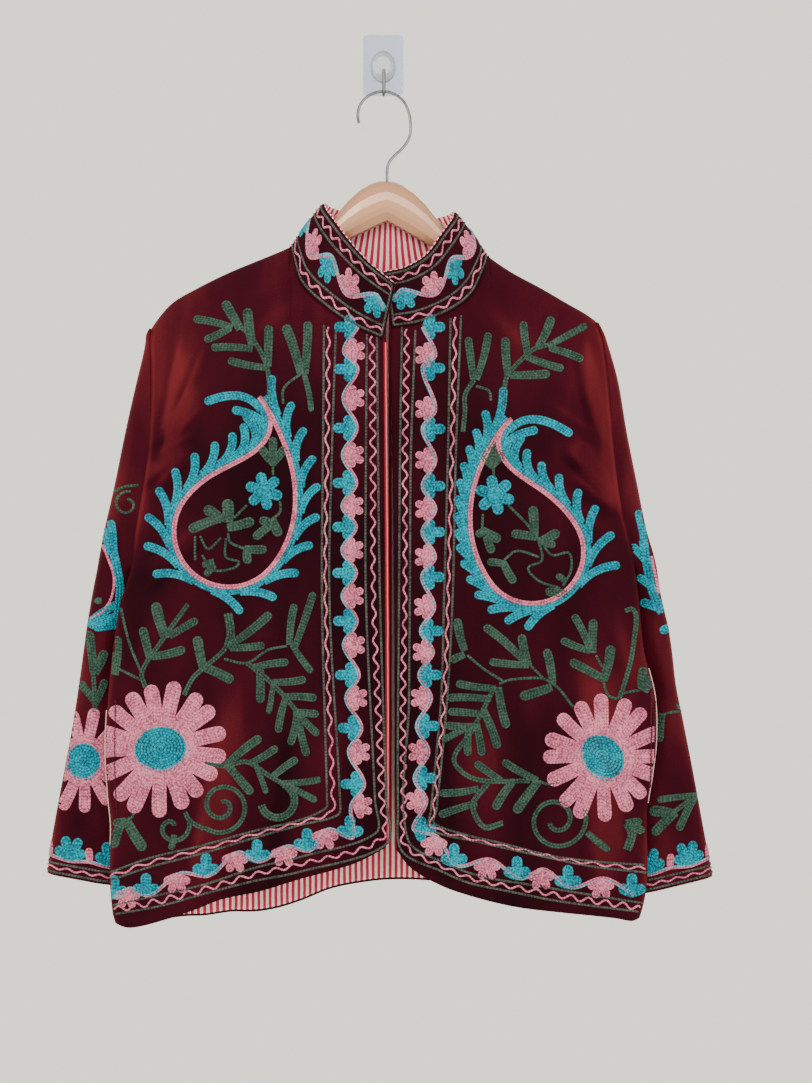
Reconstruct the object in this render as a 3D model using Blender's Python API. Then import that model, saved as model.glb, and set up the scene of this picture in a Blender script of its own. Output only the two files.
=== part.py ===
# Embroidered velvet jacket on its hanger, hung from a clear wall hook.
# Metres, +Z up. The origin is the middle of the wall plate's back face, +Y goes into the
# wall, and the jacket hangs in front of it. Left and right are as seen from the front.

import math

import bpy
import bmesh
from mathutils import Vector

MM = 0.001
SEAM_GAP = 0.3
VELVET_WALL = 1.4
LINING_WALL = 1.0
LAYER_GAP = 0.3
SHARP_ANGLE = math.radians(50.0)

# Depths (mm) of the cloth where it has one depth all along.
SHOULDER_SEAM_Y = -17.0
SIDE_SEAM_Y = -34.5
SHOULDER_FRONT_Y = -29.0
BACK_FLAT_Y = -1.5
BACK_SIDE_Y = -26.0
SIDE_TURN = 11.0
SHOULDER_TURN = 20.0
SHOULDER_SETTLE = 130.0

# The neck seam and the collar's rim, from the left front round the back to the right front.
# Columns: station, seam x, y, z, rim x, y, z.
NECK_COLUMNS = ("station", "seam_x", "seam_y", "seam_z", "rim_x", "rim_y", "rim_z")
NECK = (
    (0.0, 1.0, -58.5, -293.0, 13.0, -63.5, -237.6),
    (1.0, -31.0, -57.5, -278.5, -13.0, -61.5, -216.0),
    (2.0, -60.0, -51.5, -258.0, -34.0, -54.0, -192.0),
    (3.0, -83.5, -38.0, -233.0, -51.0, -41.0, -167.5),
    (3.45, -91.2, -30.5, -207.0, -59.0, -33.0, -156.0),
    (3.75, -93.6, -24.5, -195.8, -61.0, -27.0, -150.0),
    (4.0, -94.0, -17.0, -191.5, -61.5, -20.0, -148.0),
    (4.4, -87.0, -7.0, -195.0, -57.0, -11.0, -149.5),
    (5.0, -64.0, -3.5, -208.0, -42.0, -6.0, -153.5),
    (6.0, 6.0, -3.0, -224.0, 6.0, -4.0, -163.5),
    (7.0, 78.0, -3.5, -217.0, 55.0, -6.0, -160.5),
    (7.6, 101.0, -7.0, -205.0, 70.5, -11.0, -157.5),
    (8.0, 107.0, -17.0, -201.0, 74.5, -20.0, -156.5),
    (8.25, 106.6, -24.5, -205.4, 74.0, -27.0, -159.0),
    (8.55, 104.0, -30.5, -216.5, 72.0, -33.0, -165.0),
    (9.0, 92.0, -37.0, -243.0, 62.5, -41.0, -179.5),
    (10.0, 69.0, -49.0, -263.0, 45.5, -51.5, -204.5),
    (11.0, 38.5, -54.5, -276.0, 24.0, -56.0, -219.0),
    (12.0, 8.5, -55.5, -281.0, 1.5, -57.0, -224.5),
)
LEFT_HPS = 4.0
RIGHT_HPS = 8.0
LAST_STATION = 12.0
# The middle of the neck, which its walls face, and how far their upper edges lean down.
NECK_CENTRE = (6.0, -25.0)
NECK_LEAN = 0.35
FRONT_NECK_STATIONS = (0.0, 0.5, 1.0, 1.5, 2.0, 2.5, 3.0, 3.45, 3.75, 4.0)
FRONT_NECK_STEPS = len(FRONT_NECK_STATIONS) - 1
BACK_NECK_STATIONS = (4.0, 4.4, 5.0, 5.5, 6.0, 6.5, 7.0, 7.6, 8.0)
COLLAR_ROWS = 4
COLLAR_BULGE = 1.5
COLLAR_LINING_RISE = 1.0

# The shoulder seam's height by x, from the neck to the sleeve.
SHOULDER_COLUMNS = ("x", "z")
SHOULDER = {
    "left": ((-94.0, -191.5), (-117.0, -201.0), (-157.0, -217.5), (-190.0, -233.8),
             (-217.5, -250.5), (-236.0, -273.0)),
    "right": ((107.0, -201.0), (132.0, -217.5), (162.5, -234.0), (190.0, -250.0),
              (206.0, -259.0), (217.0, -266.5)),
}

# The armhole, top to bottom. Columns: part of the way down, depth of the front edge, of the back.
ARMHOLE_COLUMNS = ("part", "front_y", "back_y")
ARMHOLE = (
    (0.0, -17.0, -17.0),
    (0.013, -22.0, -11.0),
    (0.040, -26.0, -6.5),
    (0.090, -28.5, -3.5),
    (0.250, -31.0, -2.5),
    (0.460, -33.5, -3.0),
    (0.670, -36.5, -6.0),
    (0.840, -39.5, -13.0),
    (0.950, -40.0, -24.0),
    (1.0, -34.5, -34.5),
)

# The body's side from the hem's corner up to the shoulder tip. Columns: z, x.
SIDE_COLUMNS = ("z", "x")
SIDE = {
    "left": ((-877.0, -270.5), (-868.0, -273.0), (-828.0, -276.0), (-781.0, -274.5),
             (-749.0, -277.5), (-702.0, -280.0), (-649.0, -277.5), (-602.0, -272.5),
             (-557.0, -265.5), (-516.0, -253.4), (-481.0, -248.7), (-443.0, -242.7),
             (-403.0, -237.3), (-364.0, -235.2), (-326.0, -235.0), (-283.0, -236.5),
             (-273.0, -236.0)),
    "right": ((-872.0, 260.0), (-862.0, 263.0), (-847.0, 266.0), (-820.0, 268.0),
              (-765.0, 267.0), (-728.0, 272.4), (-694.0, 276.2), (-649.0, 275.0),
              (-602.0, 264.0), (-557.0, 259.5), (-517.0, 254.2), (-489.0, 248.0),
              (-455.0, 240.5), (-416.0, 235.5), (-365.0, 231.3), (-328.0, 229.0),
              (-292.0, 224.0), (-266.5, 217.0)),
}
UNDERARM_Z = {"left": -516.0, "right": -517.0}
SIDE_ROWS = (0.0, 0.025, 0.09, 0.2, 0.33, 0.46, 0.6, 0.74, 0.88, 1.0)

# Hems, from the centre (or the left corner) outwards. Columns: part of the width, x, z.
HEM_COLUMNS = ("part", "x", "z")
FRONT_HEM = {
    "left": ((0.0, 3.6, -797.0), (0.13, -28.0, -812.9), (0.32, -80.8, -828.3),
             (0.47, -121.8, -841.7), (0.60, -160.9, -850.2), (0.70, -186.1, -860.2),
             (0.80, -213.4, -870.2), (0.93, -252.0, -880.5), (1.0, -270.5, -877.0)),
    "right": ((0.0, 13.9, -799.0), (0.06, 26.6, -815.9), (0.15, 49.4, -830.8),
              (0.25, 75.3, -841.9), (0.46, 128.1, -856.4), (0.68, 180.2, -864.1),
              (0.88, 232.9, -870.7), (0.96, 250.0, -874.0), (1.0, 260.0, -872.0)),
}
BACK_HEM = (
    (0.0, -270.5, -877.0), (0.04, -252.0, -880.5), (0.14, -197.0, -873.2), (0.25, -138.3, -875.4),
    (0.31, -111.6, -872.0), (0.36, -84.8, -863.8), (0.42, -56.9, -852.4), (0.48, -30.1, -846.2),
    (0.55, 6.1, -842.1), (0.63, 48.4, -843.1), (0.72, 98.0, -850.0), (0.84, 165.0, -862.0),
    (0.96, 243.0, -873.5), (1.0, 260.0, -872.0),
)

# The fronts' centre edges by height, and their depths. Columns: z, x, depth at the centre, at the side.
CENTRE_COLUMNS = ("z", "x", "centre_y", "side_y")
CENTRE = {
    "left": ((-882.0, 3.8, -57.0, -43.0), (-797.0, 3.6, -59.0, -43.5), (-650.0, 3.2, -61.0, -44.0),
             (-516.0, 2.6, -62.0, -43.0), (-420.0, 2.0, -61.5, -36.0), (-340.0, 1.4, -60.0, -31.5),
             (-293.0, 1.0, -58.5, -30.0), (-180.0, 1.0, -58.0, -29.0)),
    "right": ((-882.0, 14.0, -56.0, -43.0), (-799.0, 13.9, -58.0, -43.5), (-650.0, 12.6, -60.0, -44.0),
              (-516.0, 11.3, -60.5, -43.0), (-420.0, 10.1, -59.5, -36.0), (-340.0, 9.0, -57.5, -31.5),
              (-281.0, 8.5, -55.5, -30.0), (-180.0, 8.5, -55.0, -29.0)),
}
FRONT_ROUNDNESS = 1.7

# Column places from the neck point out to the side, and along the neck.
SHOULDER_PARTS = (0.0, 0.13, 0.28, 0.44, 0.60, 0.74, 0.84, 0.92, 0.965, 0.99, 1.0)
NECK_SHARE = 0.38

# Folds raised on a front. Columns: side, x and z at each end, width, height.
FRONT_FOLDS = (
    ("left", -203.0, -300.0, -221.0, -395.0, 12.0, 3.0),
    ("left", -188.0, -337.0, -222.0, -400.0, 11.0, 2.5),
    ("left", -196.0, -399.0, -234.0, -430.0, 12.0, 3.0),
    ("left", -150.0, -640.0, -185.0, -860.0, 26.0, 3.5),
    ("left", -60.0, -660.0, -75.0, -825.0, 24.0, 2.5),
    ("right", 187.0, -392.0, 232.0, -443.0, 12.0, 3.5),
    ("right", 192.0, -421.0, 238.0, -458.0, 11.0, 3.0),
    ("right", 205.0, -300.0, 219.0, -380.0, 12.0, 2.5),
    ("right", 205.0, -600.0, 228.0, -860.0, 24.0, 4.0),
    ("right", 95.0, -650.0, 110.0, -850.0, 28.0, 3.0),
)

# The back comes forward at its sides, below the armholes, to hang in front of the sleeves.
BACK_STEP_X = (150.0, 188.0)
BACK_STEP_Z = (-430.0, -520.0)

# A sleeve's outer edge beside the armhole. Columns: z, x.
SLEEVE_EDGE_COLUMNS = ("z", "x")
SLEEVE_EDGE = {
    "left": ((-273.0, -236.9), (-276.5, -239.2), (-283.0, -242.0), (-297.0, -243.8), (-338.0, -253.8),
             (-379.0, -263.0), (-420.0, -270.8), (-461.0, -280.5), (-501.0, -288.5), (-516.0, -291.2)),
    "right": ((-266.5, 217.9), (-270.0, 220.6), (-276.5, 223.6), (-291.0, 228.8), (-338.0, 238.8),
              (-379.0, 248.0), (-430.0, 259.2), (-481.0, 268.4), (-517.0, 274.0)),
}
# Below the armhole, a row for each ring down to the cuff. The inner edge is tucked behind the body.
SLEEVE_COLUMNS = ("inner_x", "inner_y", "inner_z", "outer_x", "outer_z")
SLEEVE = {
    "left": (
        (-255.0, -28.5, -523.0, -292.4, -522.5), (-257.0, -25.0, -533.0, -294.2, -531.5),
        (-259.5, -21.5, -546.0, -296.5, -543.5), (-257.0, -18.0, -562.0, -299.2, -558.5),
        (-249.0, -15.0, -584.0, -302.5, -579.0), (-238.0, -13.0, -612.0, -306.3, -606.0),
        (-226.0, -12.0, -648.0, -311.0, -640.0), (-214.0, -11.5, -690.0, -317.2, -680.0),
        (-209.0, -11.5, -735.0, -325.0, -722.0), (-210.0, -11.5, -778.0, -332.6, -762.0),
        (-215.0, -11.5, -818.0, -339.0, -798.0), (-220.0, -11.5, -853.5, -343.3, -830.4),
    ),
    "right": (
        (254.9, -28.5, -524.0, 274.9, -523.0), (256.5, -25.0, -534.0, 276.2, -532.0),
        (257.0, -21.5, -547.0, 278.2, -544.0), (254.5, -18.0, -563.0, 281.2, -559.0),
        (247.5, -15.0, -585.0, 286.8, -580.0), (237.0, -13.0, -613.0, 292.5, -606.0),
        (227.0, -12.0, -650.0, 299.0, -640.0), (216.0, -11.5, -693.0, 307.5, -678.0),
        (210.0, -11.5, -740.0, 316.2, -722.0), (209.5, -11.5, -785.0, 324.2, -765.0),
        (213.0, -11.5, -828.0, 331.0, -802.0), (216.0, -11.5, -864.0, 337.2, -833.5),
    ),
}
SLEEVE_PARTS = (0.0, 0.05, 0.13, 0.28, 0.48, 0.68, 0.84, 0.94, 0.985, 1.0)
SLEEVE_BEHIND_Y = -24.0
SLEEVE_PUFF_Y = -33.0
SLEEVE_BACK_Y = -3.0
SLEEVE_TUCK = 16.0
SLEEVE_TUCK_DROP = 40.0
SLEEVE_TURN = 12.0
CUFF_FRONT_Y = -27.0
TIP_WIDTH = 0.9
UNDERARM_INWARD = (0.5, 0.0, 0.87)

# Pocket mouths in the side seams. Columns: side, lowest row of the side, highest row.
POCKETS = (("left", 3, 6), ("right", 4, 7))
POCKET_LIP = 1.0

# The front strip shows past the left edge and reaches in behind it. The back's lining ends this many
# of the back's rows and columns short of the shoulders and the sides.
LINING_EDGE = 4.8
LINING_TUCK = 22.0
LINING_HEM_RISE = 2.5
LINING_TRIM = 3

# Hanger. Columns: distance from the hook, top z, bottom z, half depth.
HANGER_X = 4.2
HANGER_Y = -17.0
HANGER_HEAD = (
    (0.0, -123.5, -165.4, 8.0),
    (8.0, -124.3, -169.3, 8.0),
    (17.0, -127.5, -174.0, 8.0),
    (28.0, -134.4, -179.8, 8.0),
    (39.0, -144.6, -185.6, 7.8),
    (50.0, -158.0, -191.8, 7.6),
    (62.0, -172.0, -200.8, 7.6),
    (76.0, -187.5, -212.8, 7.7),
)
HANGER_TILT = math.radians(2.6)
# The arms under the shoulders. Columns: share of the way out, clearance, height, half depth.
HANGER_ARM = (
    (0.0, 0.85, 28.0, 7.0),
    (0.16, 0.85, 27.0, 6.9),
    (0.40, 0.85, 26.5, 6.9),
    (0.64, 0.95, 25.5, 7.0),
    (0.84, 1.45, 23.5, 7.0),
    (0.95, 3.0, 20.0, 7.0),
    (1.0, 7.0, 12.0, 5.0),
)
HANGER_ARM_REACH = {"left": (93.0, 222.0), "right": (98.0, 204.0)}
HANGER_SLOPE_SPAN = 8.0
# Half a ring, from the ridge over the full face to the bevel along the lower edge.
# Columns: part of the half depth, part of the half height.
HANGER_SECTION = (
    (0.0, 1.0), (0.38, 0.92), (0.70, 0.71), (0.92, 0.38), (1.0, 0.0),
    (0.99, -0.34), (0.93, -0.60), (0.42, -0.95), (0.0, -1.0),
)

# The hook wire's middle line, drawn by hand: x and z at one depth.
WIRE_RADIUS = 1.5
HOOK_ROUTE = ((-24.6, -64.3), (-25.8, -57.0), (-24.4, -48.5), (-19.6, -40.6), (-10.8, -34.4), (0.6, -32.0),
              (11.8, -34.6), (21.0, -41.8), (26.4, -53.0), (28.4, -66.0), (27.2, -78.5), (21.0, -89.0),
              (11.0, -98.5), (5.8, -105.5), (4.3, -112.5), (4.2, -123.2))
HOOK_STEPS = 3
WIRE_SIDES_RESOLUTION = 2

PLATE_WIDTH = 42.0
PLATE_HEIGHT = 62.6
PLATE_THICKNESS = 1.8
PLATE_CORNER = 5.0
PLATE_CORNER_STEPS = 5
BOSS_WIDTH = 26.0
BOSS_HEIGHT = 33.0
BOSS_DEPTH = 5.0
BOSS_Z = -2.0
BOSS_SIDES = 32
# The dome's rings. Columns: part of the depth, part of the width.
BOSS_LEVELS = ((0.0, 1.0), (0.5, 0.97), (0.85, 0.82), (1.0, 0.58))

# The prong's middle line: y and z, from the boss down round the hook wire and up in front.
PRONG_X = 0.8
PRONG_ROUTE = ((-7.6, -7.8), (-9.6, -8.2), (-11.4, -11.5), (-12.0, -18.0), (-12.1, -27.0), (-13.2, -33.0),
               (-17.0, -35.6), (-20.8, -33.6), (-22.6, -28.5), (-23.0, -21.0), (-23.0, -12.5))
PRONG_RADIUS = 1.7


def clear_scene():
    for item in list(bpy.data.objects):
        bpy.data.objects.remove(item, do_unlink=True)


def material(name, colour, roughness, metallic=0.0, alpha=1.0):
    made = bpy.data.materials.new(name)
    made.use_nodes = True
    shader = made.node_tree.nodes["Principled BSDF"]
    shader.inputs["Base Color"].default_value = (*colour, 1.0)
    shader.inputs["Roughness"].default_value = roughness
    shader.inputs["Metallic"].default_value = metallic
    shader.inputs["Alpha"].default_value = alpha
    return made


def smooth(value, start, end):
    """0 before start, 1 after end and an even S between them."""
    part = max(0.0, min(1.0, (value - start) / (end - start)))
    return part * part * (3.0 - 2.0 * part)


def read(table, columns, by, wanted, value):
    """A smooth curve through one column of a table: cubic pieces with limited slopes."""
    keys = [row[columns.index(by)] for row in table]
    places = [row[columns.index(wanted)] for row in table]
    if keys[0] > keys[-1]:
        keys.reverse()
        places.reverse()
    value = max(keys[0], min(keys[-1], value))
    span = 0
    while span < len(keys) - 2 and value > keys[span + 1]:
        span += 1

    def slope(index):
        low = max(index - 1, 0)
        high = min(index + 1, len(keys) - 1)
        return (places[high] - places[low]) / (keys[high] - keys[low])

    width = keys[span + 1] - keys[span]
    part = (value - keys[span]) / width
    rise = places[span + 1] - places[span]
    start = slope(span) * width
    end = slope(span + 1) * width
    return (places[span] + part * start + part * part * (3.0 * rise - 2.0 * start - end)
            + part ** 3 * (start + end - 2.0 * rise))


def neck_point(station, line):
    return Vector([read(NECK, NECK_COLUMNS, "station", line + axis, station) for axis in ("_x", "_y", "_z")])


def turn(distance, radius):
    """How far a rounded edge has come out to the panel's full depth."""
    if distance >= radius:
        return 1.0
    return math.sqrt(1.0 - (1.0 - distance / radius) ** 2)


def side_x(side, height):
    return read(SIDE[side], SIDE_COLUMNS, "z", "x", height)


def hem_corner_z(side):
    return SIDE[side][0][0]


def tip_z(side):
    return SIDE[side][-1][0]


def armhole_height(side, part):
    return tip_z(side) + (UNDERARM_Z[side] - tip_z(side)) * part


def outer_rows(side):
    """Heights of a panel's rows along its outer edge, hem to shoulder tip, and the armhole's parts."""
    low = hem_corner_z(side)
    heights = [low + (UNDERARM_Z[side] - low) * part for part in SIDE_ROWS]
    parts = [None] * (len(SIDE_ROWS) - 1) + [1.0]
    for row in reversed(ARMHOLE[:-1]):
        heights.append(armhole_height(side, row[0]))
        parts.append(row[0])
    return heights, parts


def armhole_point(side, part, face):
    height = armhole_height(side, part)
    depth = read(ARMHOLE, ARMHOLE_COLUMNS, "part", face + "_y", part)
    return Vector((side_x(side, height), depth, height))


def shoulder_z(side, x):
    return read(SHOULDER[side], SHOULDER_COLUMNS, "x", "z", x)


def top_edge(side, parts, stations):
    """A panel's upper edge from the neck's centre out along the shoulder: points in order."""
    points = [neck_point(station, "seam") for station in stations]
    start = points[-1].x
    end = SHOULDER[side][-1][0]
    for part in parts[1:]:
        x = start + (end - start) * part
        points.append(Vector((x, SHOULDER_SEAM_Y, shoulder_z(side, x))))
    return points


def centre_depth(side, height, column):
    return read(CENTRE[side], CENTRE_COLUMNS, "z", column, height)


def fold_height(side, x, z):
    """The sum of soft ridges, each fading towards its ends."""
    total = 0.0
    for name, x0, z0, x1, z1, width, height in FRONT_FOLDS:
        if name != side:
            continue
        run = Vector((x1 - x0, z1 - z0))
        along = (Vector((x, z)) - Vector((x0, z0))).dot(run) / run.length_squared
        across = abs((x - x0) * run.y - (z - z0) * run.x) / run.length
        fade = smooth(along, -0.15, 0.3) * (1.0 - smooth(along, 0.7, 1.15))
        total += height * fade * math.exp(-(across / width) ** 2)
    return total


def front_sheet(side, x, z, below_top, top_y):
    """Depth of a front: round from the centre to the side, drawn in under the shoulder."""
    centre_x = centre_depth(side, z, "x")
    reach = abs(x - centre_x) / abs(side_x(side, z) - centre_x)
    near = centre_depth(side, z, "centre_y")
    far = centre_depth(side, z, "side_y")
    depth = far + (near - far) * max(0.0, 1.0 - reach ** FRONT_ROUNDNESS)
    settled = smooth(below_top, 0.0, SHOULDER_SETTLE)
    return top_y + (depth - top_y) * settled - fold_height(side, x, z)


def back_sheet(x, z):
    step = smooth(abs(x), *BACK_STEP_X) * smooth(-z, -BACK_STEP_Z[0], -BACK_STEP_Z[1])
    return BACK_FLAT_Y + (BACK_SIDE_Y - BACK_FLAT_Y) * step


def armhole_inward(side, part, face):
    """Into the armhole's wall, kept on the upright surface that the armhole's edge lies in."""
    if part <= 0.0:
        inward = Vector((0.0, 0.0, -1.0))
    elif part >= 1.0:
        sign = -1.0 if side == "left" else 1.0
        return Vector((-sign * UNDERARM_INWARD[0], UNDERARM_INWARD[1], UNDERARM_INWARD[2])).normalized()
    else:
        index = [row[0] for row in ARMHOLE].index(part)
        before = armhole_point(side, ARMHOLE[index - 1][0], face)
        after = armhole_point(side, ARMHOLE[index + 1][0], face)
        run = after - before
        inward = Vector((0.0, -run.z, run.y)).normalized()
        if face == "back":
            inward = -inward
    height = armhole_height(side, part)
    inward.x = side_x(side, height + inward.z) - side_x(side, height)
    return inward.normalized()


def neck_inward(station):
    """Into the neck and a little down, shared by the collar and the panels it is sewn to."""
    if abs(station - LEFT_HPS) < 1e-6:
        flat = Vector((1.0, 0.0, 0.0))
    elif abs(station - RIGHT_HPS) < 1e-6:
        flat = Vector((-1.0, 0.0, 0.0))
    else:
        step = 0.05
        ahead = neck_point(min(LAST_STATION, station + step), "seam")
        behind = neck_point(max(0.0, station - step), "seam")
        run = ahead - behind
        flat = Vector((-run.y, run.x, 0.0)).normalized()
        seam = neck_point(station, "seam")
        to_centre = Vector((NECK_CENTRE[0] - seam.x, NECK_CENTRE[1] - seam.y, 0.0))
        if flat.dot(to_centre) < 0.0:
            flat = -flat
    flat.z = -NECK_LEAN
    return flat.normalized()


def shoulder_inward(side, x):
    step = 2.0
    rise = shoulder_z(side, x + step) - shoulder_z(side, x - step)
    down = Vector((rise, 0.0, -2.0 * step))
    return down.normalized()


def surface_inward(grid, row, column, closed):
    """Square to the surface, from the neighbouring points; rows run along, columns round."""
    line = grid[row]
    count = len(line)
    if closed:
        ahead = line[(column + 1) % count]
        behind = line[(column - 1) % count]
    else:
        ahead = line[min(column + 1, count - 1)]
        behind = line[max(column - 1, 0)]
    above_line = grid[min(row + 1, len(grid) - 1)]
    below_line = grid[max(row - 1, 0)]
    above = above_line[column % len(above_line)]
    below = below_line[column % len(below_line)]
    return (above - below).cross(ahead - behind).normalized()


def wall(name, grid, inward, thickness, finish, weld_from=None, lift=0.0, mirror=False, rising=True):
    """A closed wall between the outer points and the same points moved in.

    From the row weld_from on, the last column joins the first and the wall is a tube.
    Rising rows run upwards; the rims' diagonals are the same for every wall.
    """
    mesh = bmesh.new()
    layers = []
    for depth in (lift, lift + thickness):
        layer = [[mesh.verts.new((point + way * depth) * MM) for point, way in zip(line, ways)]
                 for line, ways in zip(grid, inward)]
        if weld_from is not None:
            for line in layer[weld_from:]:
                line.append(line[0])
        layers.append(layer)
    outer, inner = layers
    last = len(outer) - 1
    spans = len(outer[0]) - 1

    def fill(first, second, third, fourth):
        """Two triangles, with the diagonal on the same corners in every layer."""
        if mirror:
            first, second, third, fourth = second, first, fourth, third
        mesh.faces.new((first, second, third))
        mesh.faces.new((first, third, fourth))

    for column in range(spans):
        for row in range(last):
            for layer in layers:
                fill(layer[row][column], layer[row][column + 1],
                     layer[row + 1][column + 1], layer[row + 1][column])
        for row in (0, last):
            fill(outer[row][column], outer[row][column + 1], inner[row][column + 1], inner[row][column])
    open_rows = last if weld_from is None else weld_from
    for row in range(open_rows):
        low, high = (row, row + 1) if rising else (row + 1, row)
        for column in (0, spans):
            mesh.faces.new((outer[low][column], outer[high][column], inner[high][column]))
            mesh.faces.new((outer[low][column], inner[high][column], inner[low][column]))
    return finish_mesh(name, mesh, finish)


def finish_mesh(name, mesh, finish):
    bmesh.ops.recalc_face_normals(mesh, faces=mesh.faces)
    data = bpy.data.meshes.new(name)
    mesh.to_mesh(data)
    mesh.free()
    data.shade_smooth()
    data.set_sharp_from_angle(angle=SHARP_ANGLE)
    made = bpy.data.objects.new(name, data)
    made.data.materials.append(finish)
    bpy.context.collection.objects.link(made)
    return made


def front_grid(side):
    """A front's outer points and the ways in, hem to top by centre to side."""
    sign = -1.0 if side == "left" else 1.0
    stations = list(FRONT_NECK_STATIONS)
    if side == "right":
        stations = [LAST_STATION - station for station in stations]
    heights, parts = outer_rows(side)
    low = heights[0]
    tall = heights[-1] - low
    edge = top_edge(side, SHOULDER_PARTS, stations)
    shares = [NECK_SHARE * step / FRONT_NECK_STEPS for step in range(FRONT_NECK_STEPS + 1)]
    shares += [NECK_SHARE + (1.0 - NECK_SHARE) * part for part in SHOULDER_PARTS[1:]]
    hem = [Vector((read(FRONT_HEM[side], HEM_COLUMNS, "part", "x", share),
                   read(FRONT_HEM[side], HEM_COLUMNS, "part", "z", share))) for share in shares]
    neck_z = edge[0].z
    hem_z = hem[0].y
    grid = []
    inward = []
    last = len(shares) - 1
    for row, (height, part) in enumerate(zip(heights, parts)):
        v = (height - low) / tall
        centre_z = hem_z + (neck_z - hem_z) * v
        centre = Vector((centre_depth(side, centre_z, "x"), centre_z))
        outer = Vector((side_x(side, height), height))
        outer_y = SIDE_SEAM_Y if part is None else armhole_point(side, part, "front").y
        line = []
        for column, u in enumerate(shares):
            top = Vector((edge[column].x, edge[column].z))
            corners = ((1 - u) * (1 - v) * hem[0] + u * (1 - v) * hem[-1]
                       + (1 - u) * v * Vector((edge[0].x, edge[0].z))
                       + u * v * Vector((edge[-1].x, edge[-1].z)))
            flat = (1 - v) * hem[column] + v * top + (1 - u) * centre + u * outer - corners
            below_top = max(0.0, top.y - flat.y)
            top_y = min(edge[column].y, SHOULDER_FRONT_Y)
            sheet = front_sheet(side, flat.x, flat.y, below_top, top_y)
            from_side = abs(outer.x - flat.x)
            side_share = 1.0 - turn(from_side, SIDE_TURN)
            top_share = 1.0 - turn(below_top, SHOULDER_TURN)
            depth = (sheet + (outer_y - sheet) * side_share + (edge[column].y - sheet) * top_share
                     - (edge[-1].y - sheet) * side_share * top_share)
            point = Vector((flat.x, depth, flat.y))
            if row == len(heights) - 1:
                point.z -= SEAM_GAP / 2.0 if column <= FRONT_NECK_STEPS else 0.0
                point.y -= SEAM_GAP / 2.0 if column >= FRONT_NECK_STEPS else 0.0
            if column == last:
                if part is None:
                    point.y -= SEAM_GAP / 2.0
                else:
                    point.x -= sign * SEAM_GAP / 2.0
                    if part in (0.0, 1.0):
                        point.y = outer_y - SEAM_GAP / 2.0
            line.append(point)
        grid.append(line)
    for row, part in enumerate(parts):
        ways = []
        for column in range(last + 1):
            ways.append(surface_inward(grid, row, column, False) * sign)
        inward.append(ways)
    for column in range(last + 1):
        if column <= FRONT_NECK_STEPS:
            inward[-1][column] = neck_inward(stations[column])
        else:
            inward[-1][column] = shoulder_inward(side, edge[column].x)
    for row, part in enumerate(parts):
        if part is None:
            inward[row][-1] = Vector((-sign, 0.0, 0.0))
        else:
            inward[row][-1] = armhole_inward(side, part, "front")
    return grid, inward


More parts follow.
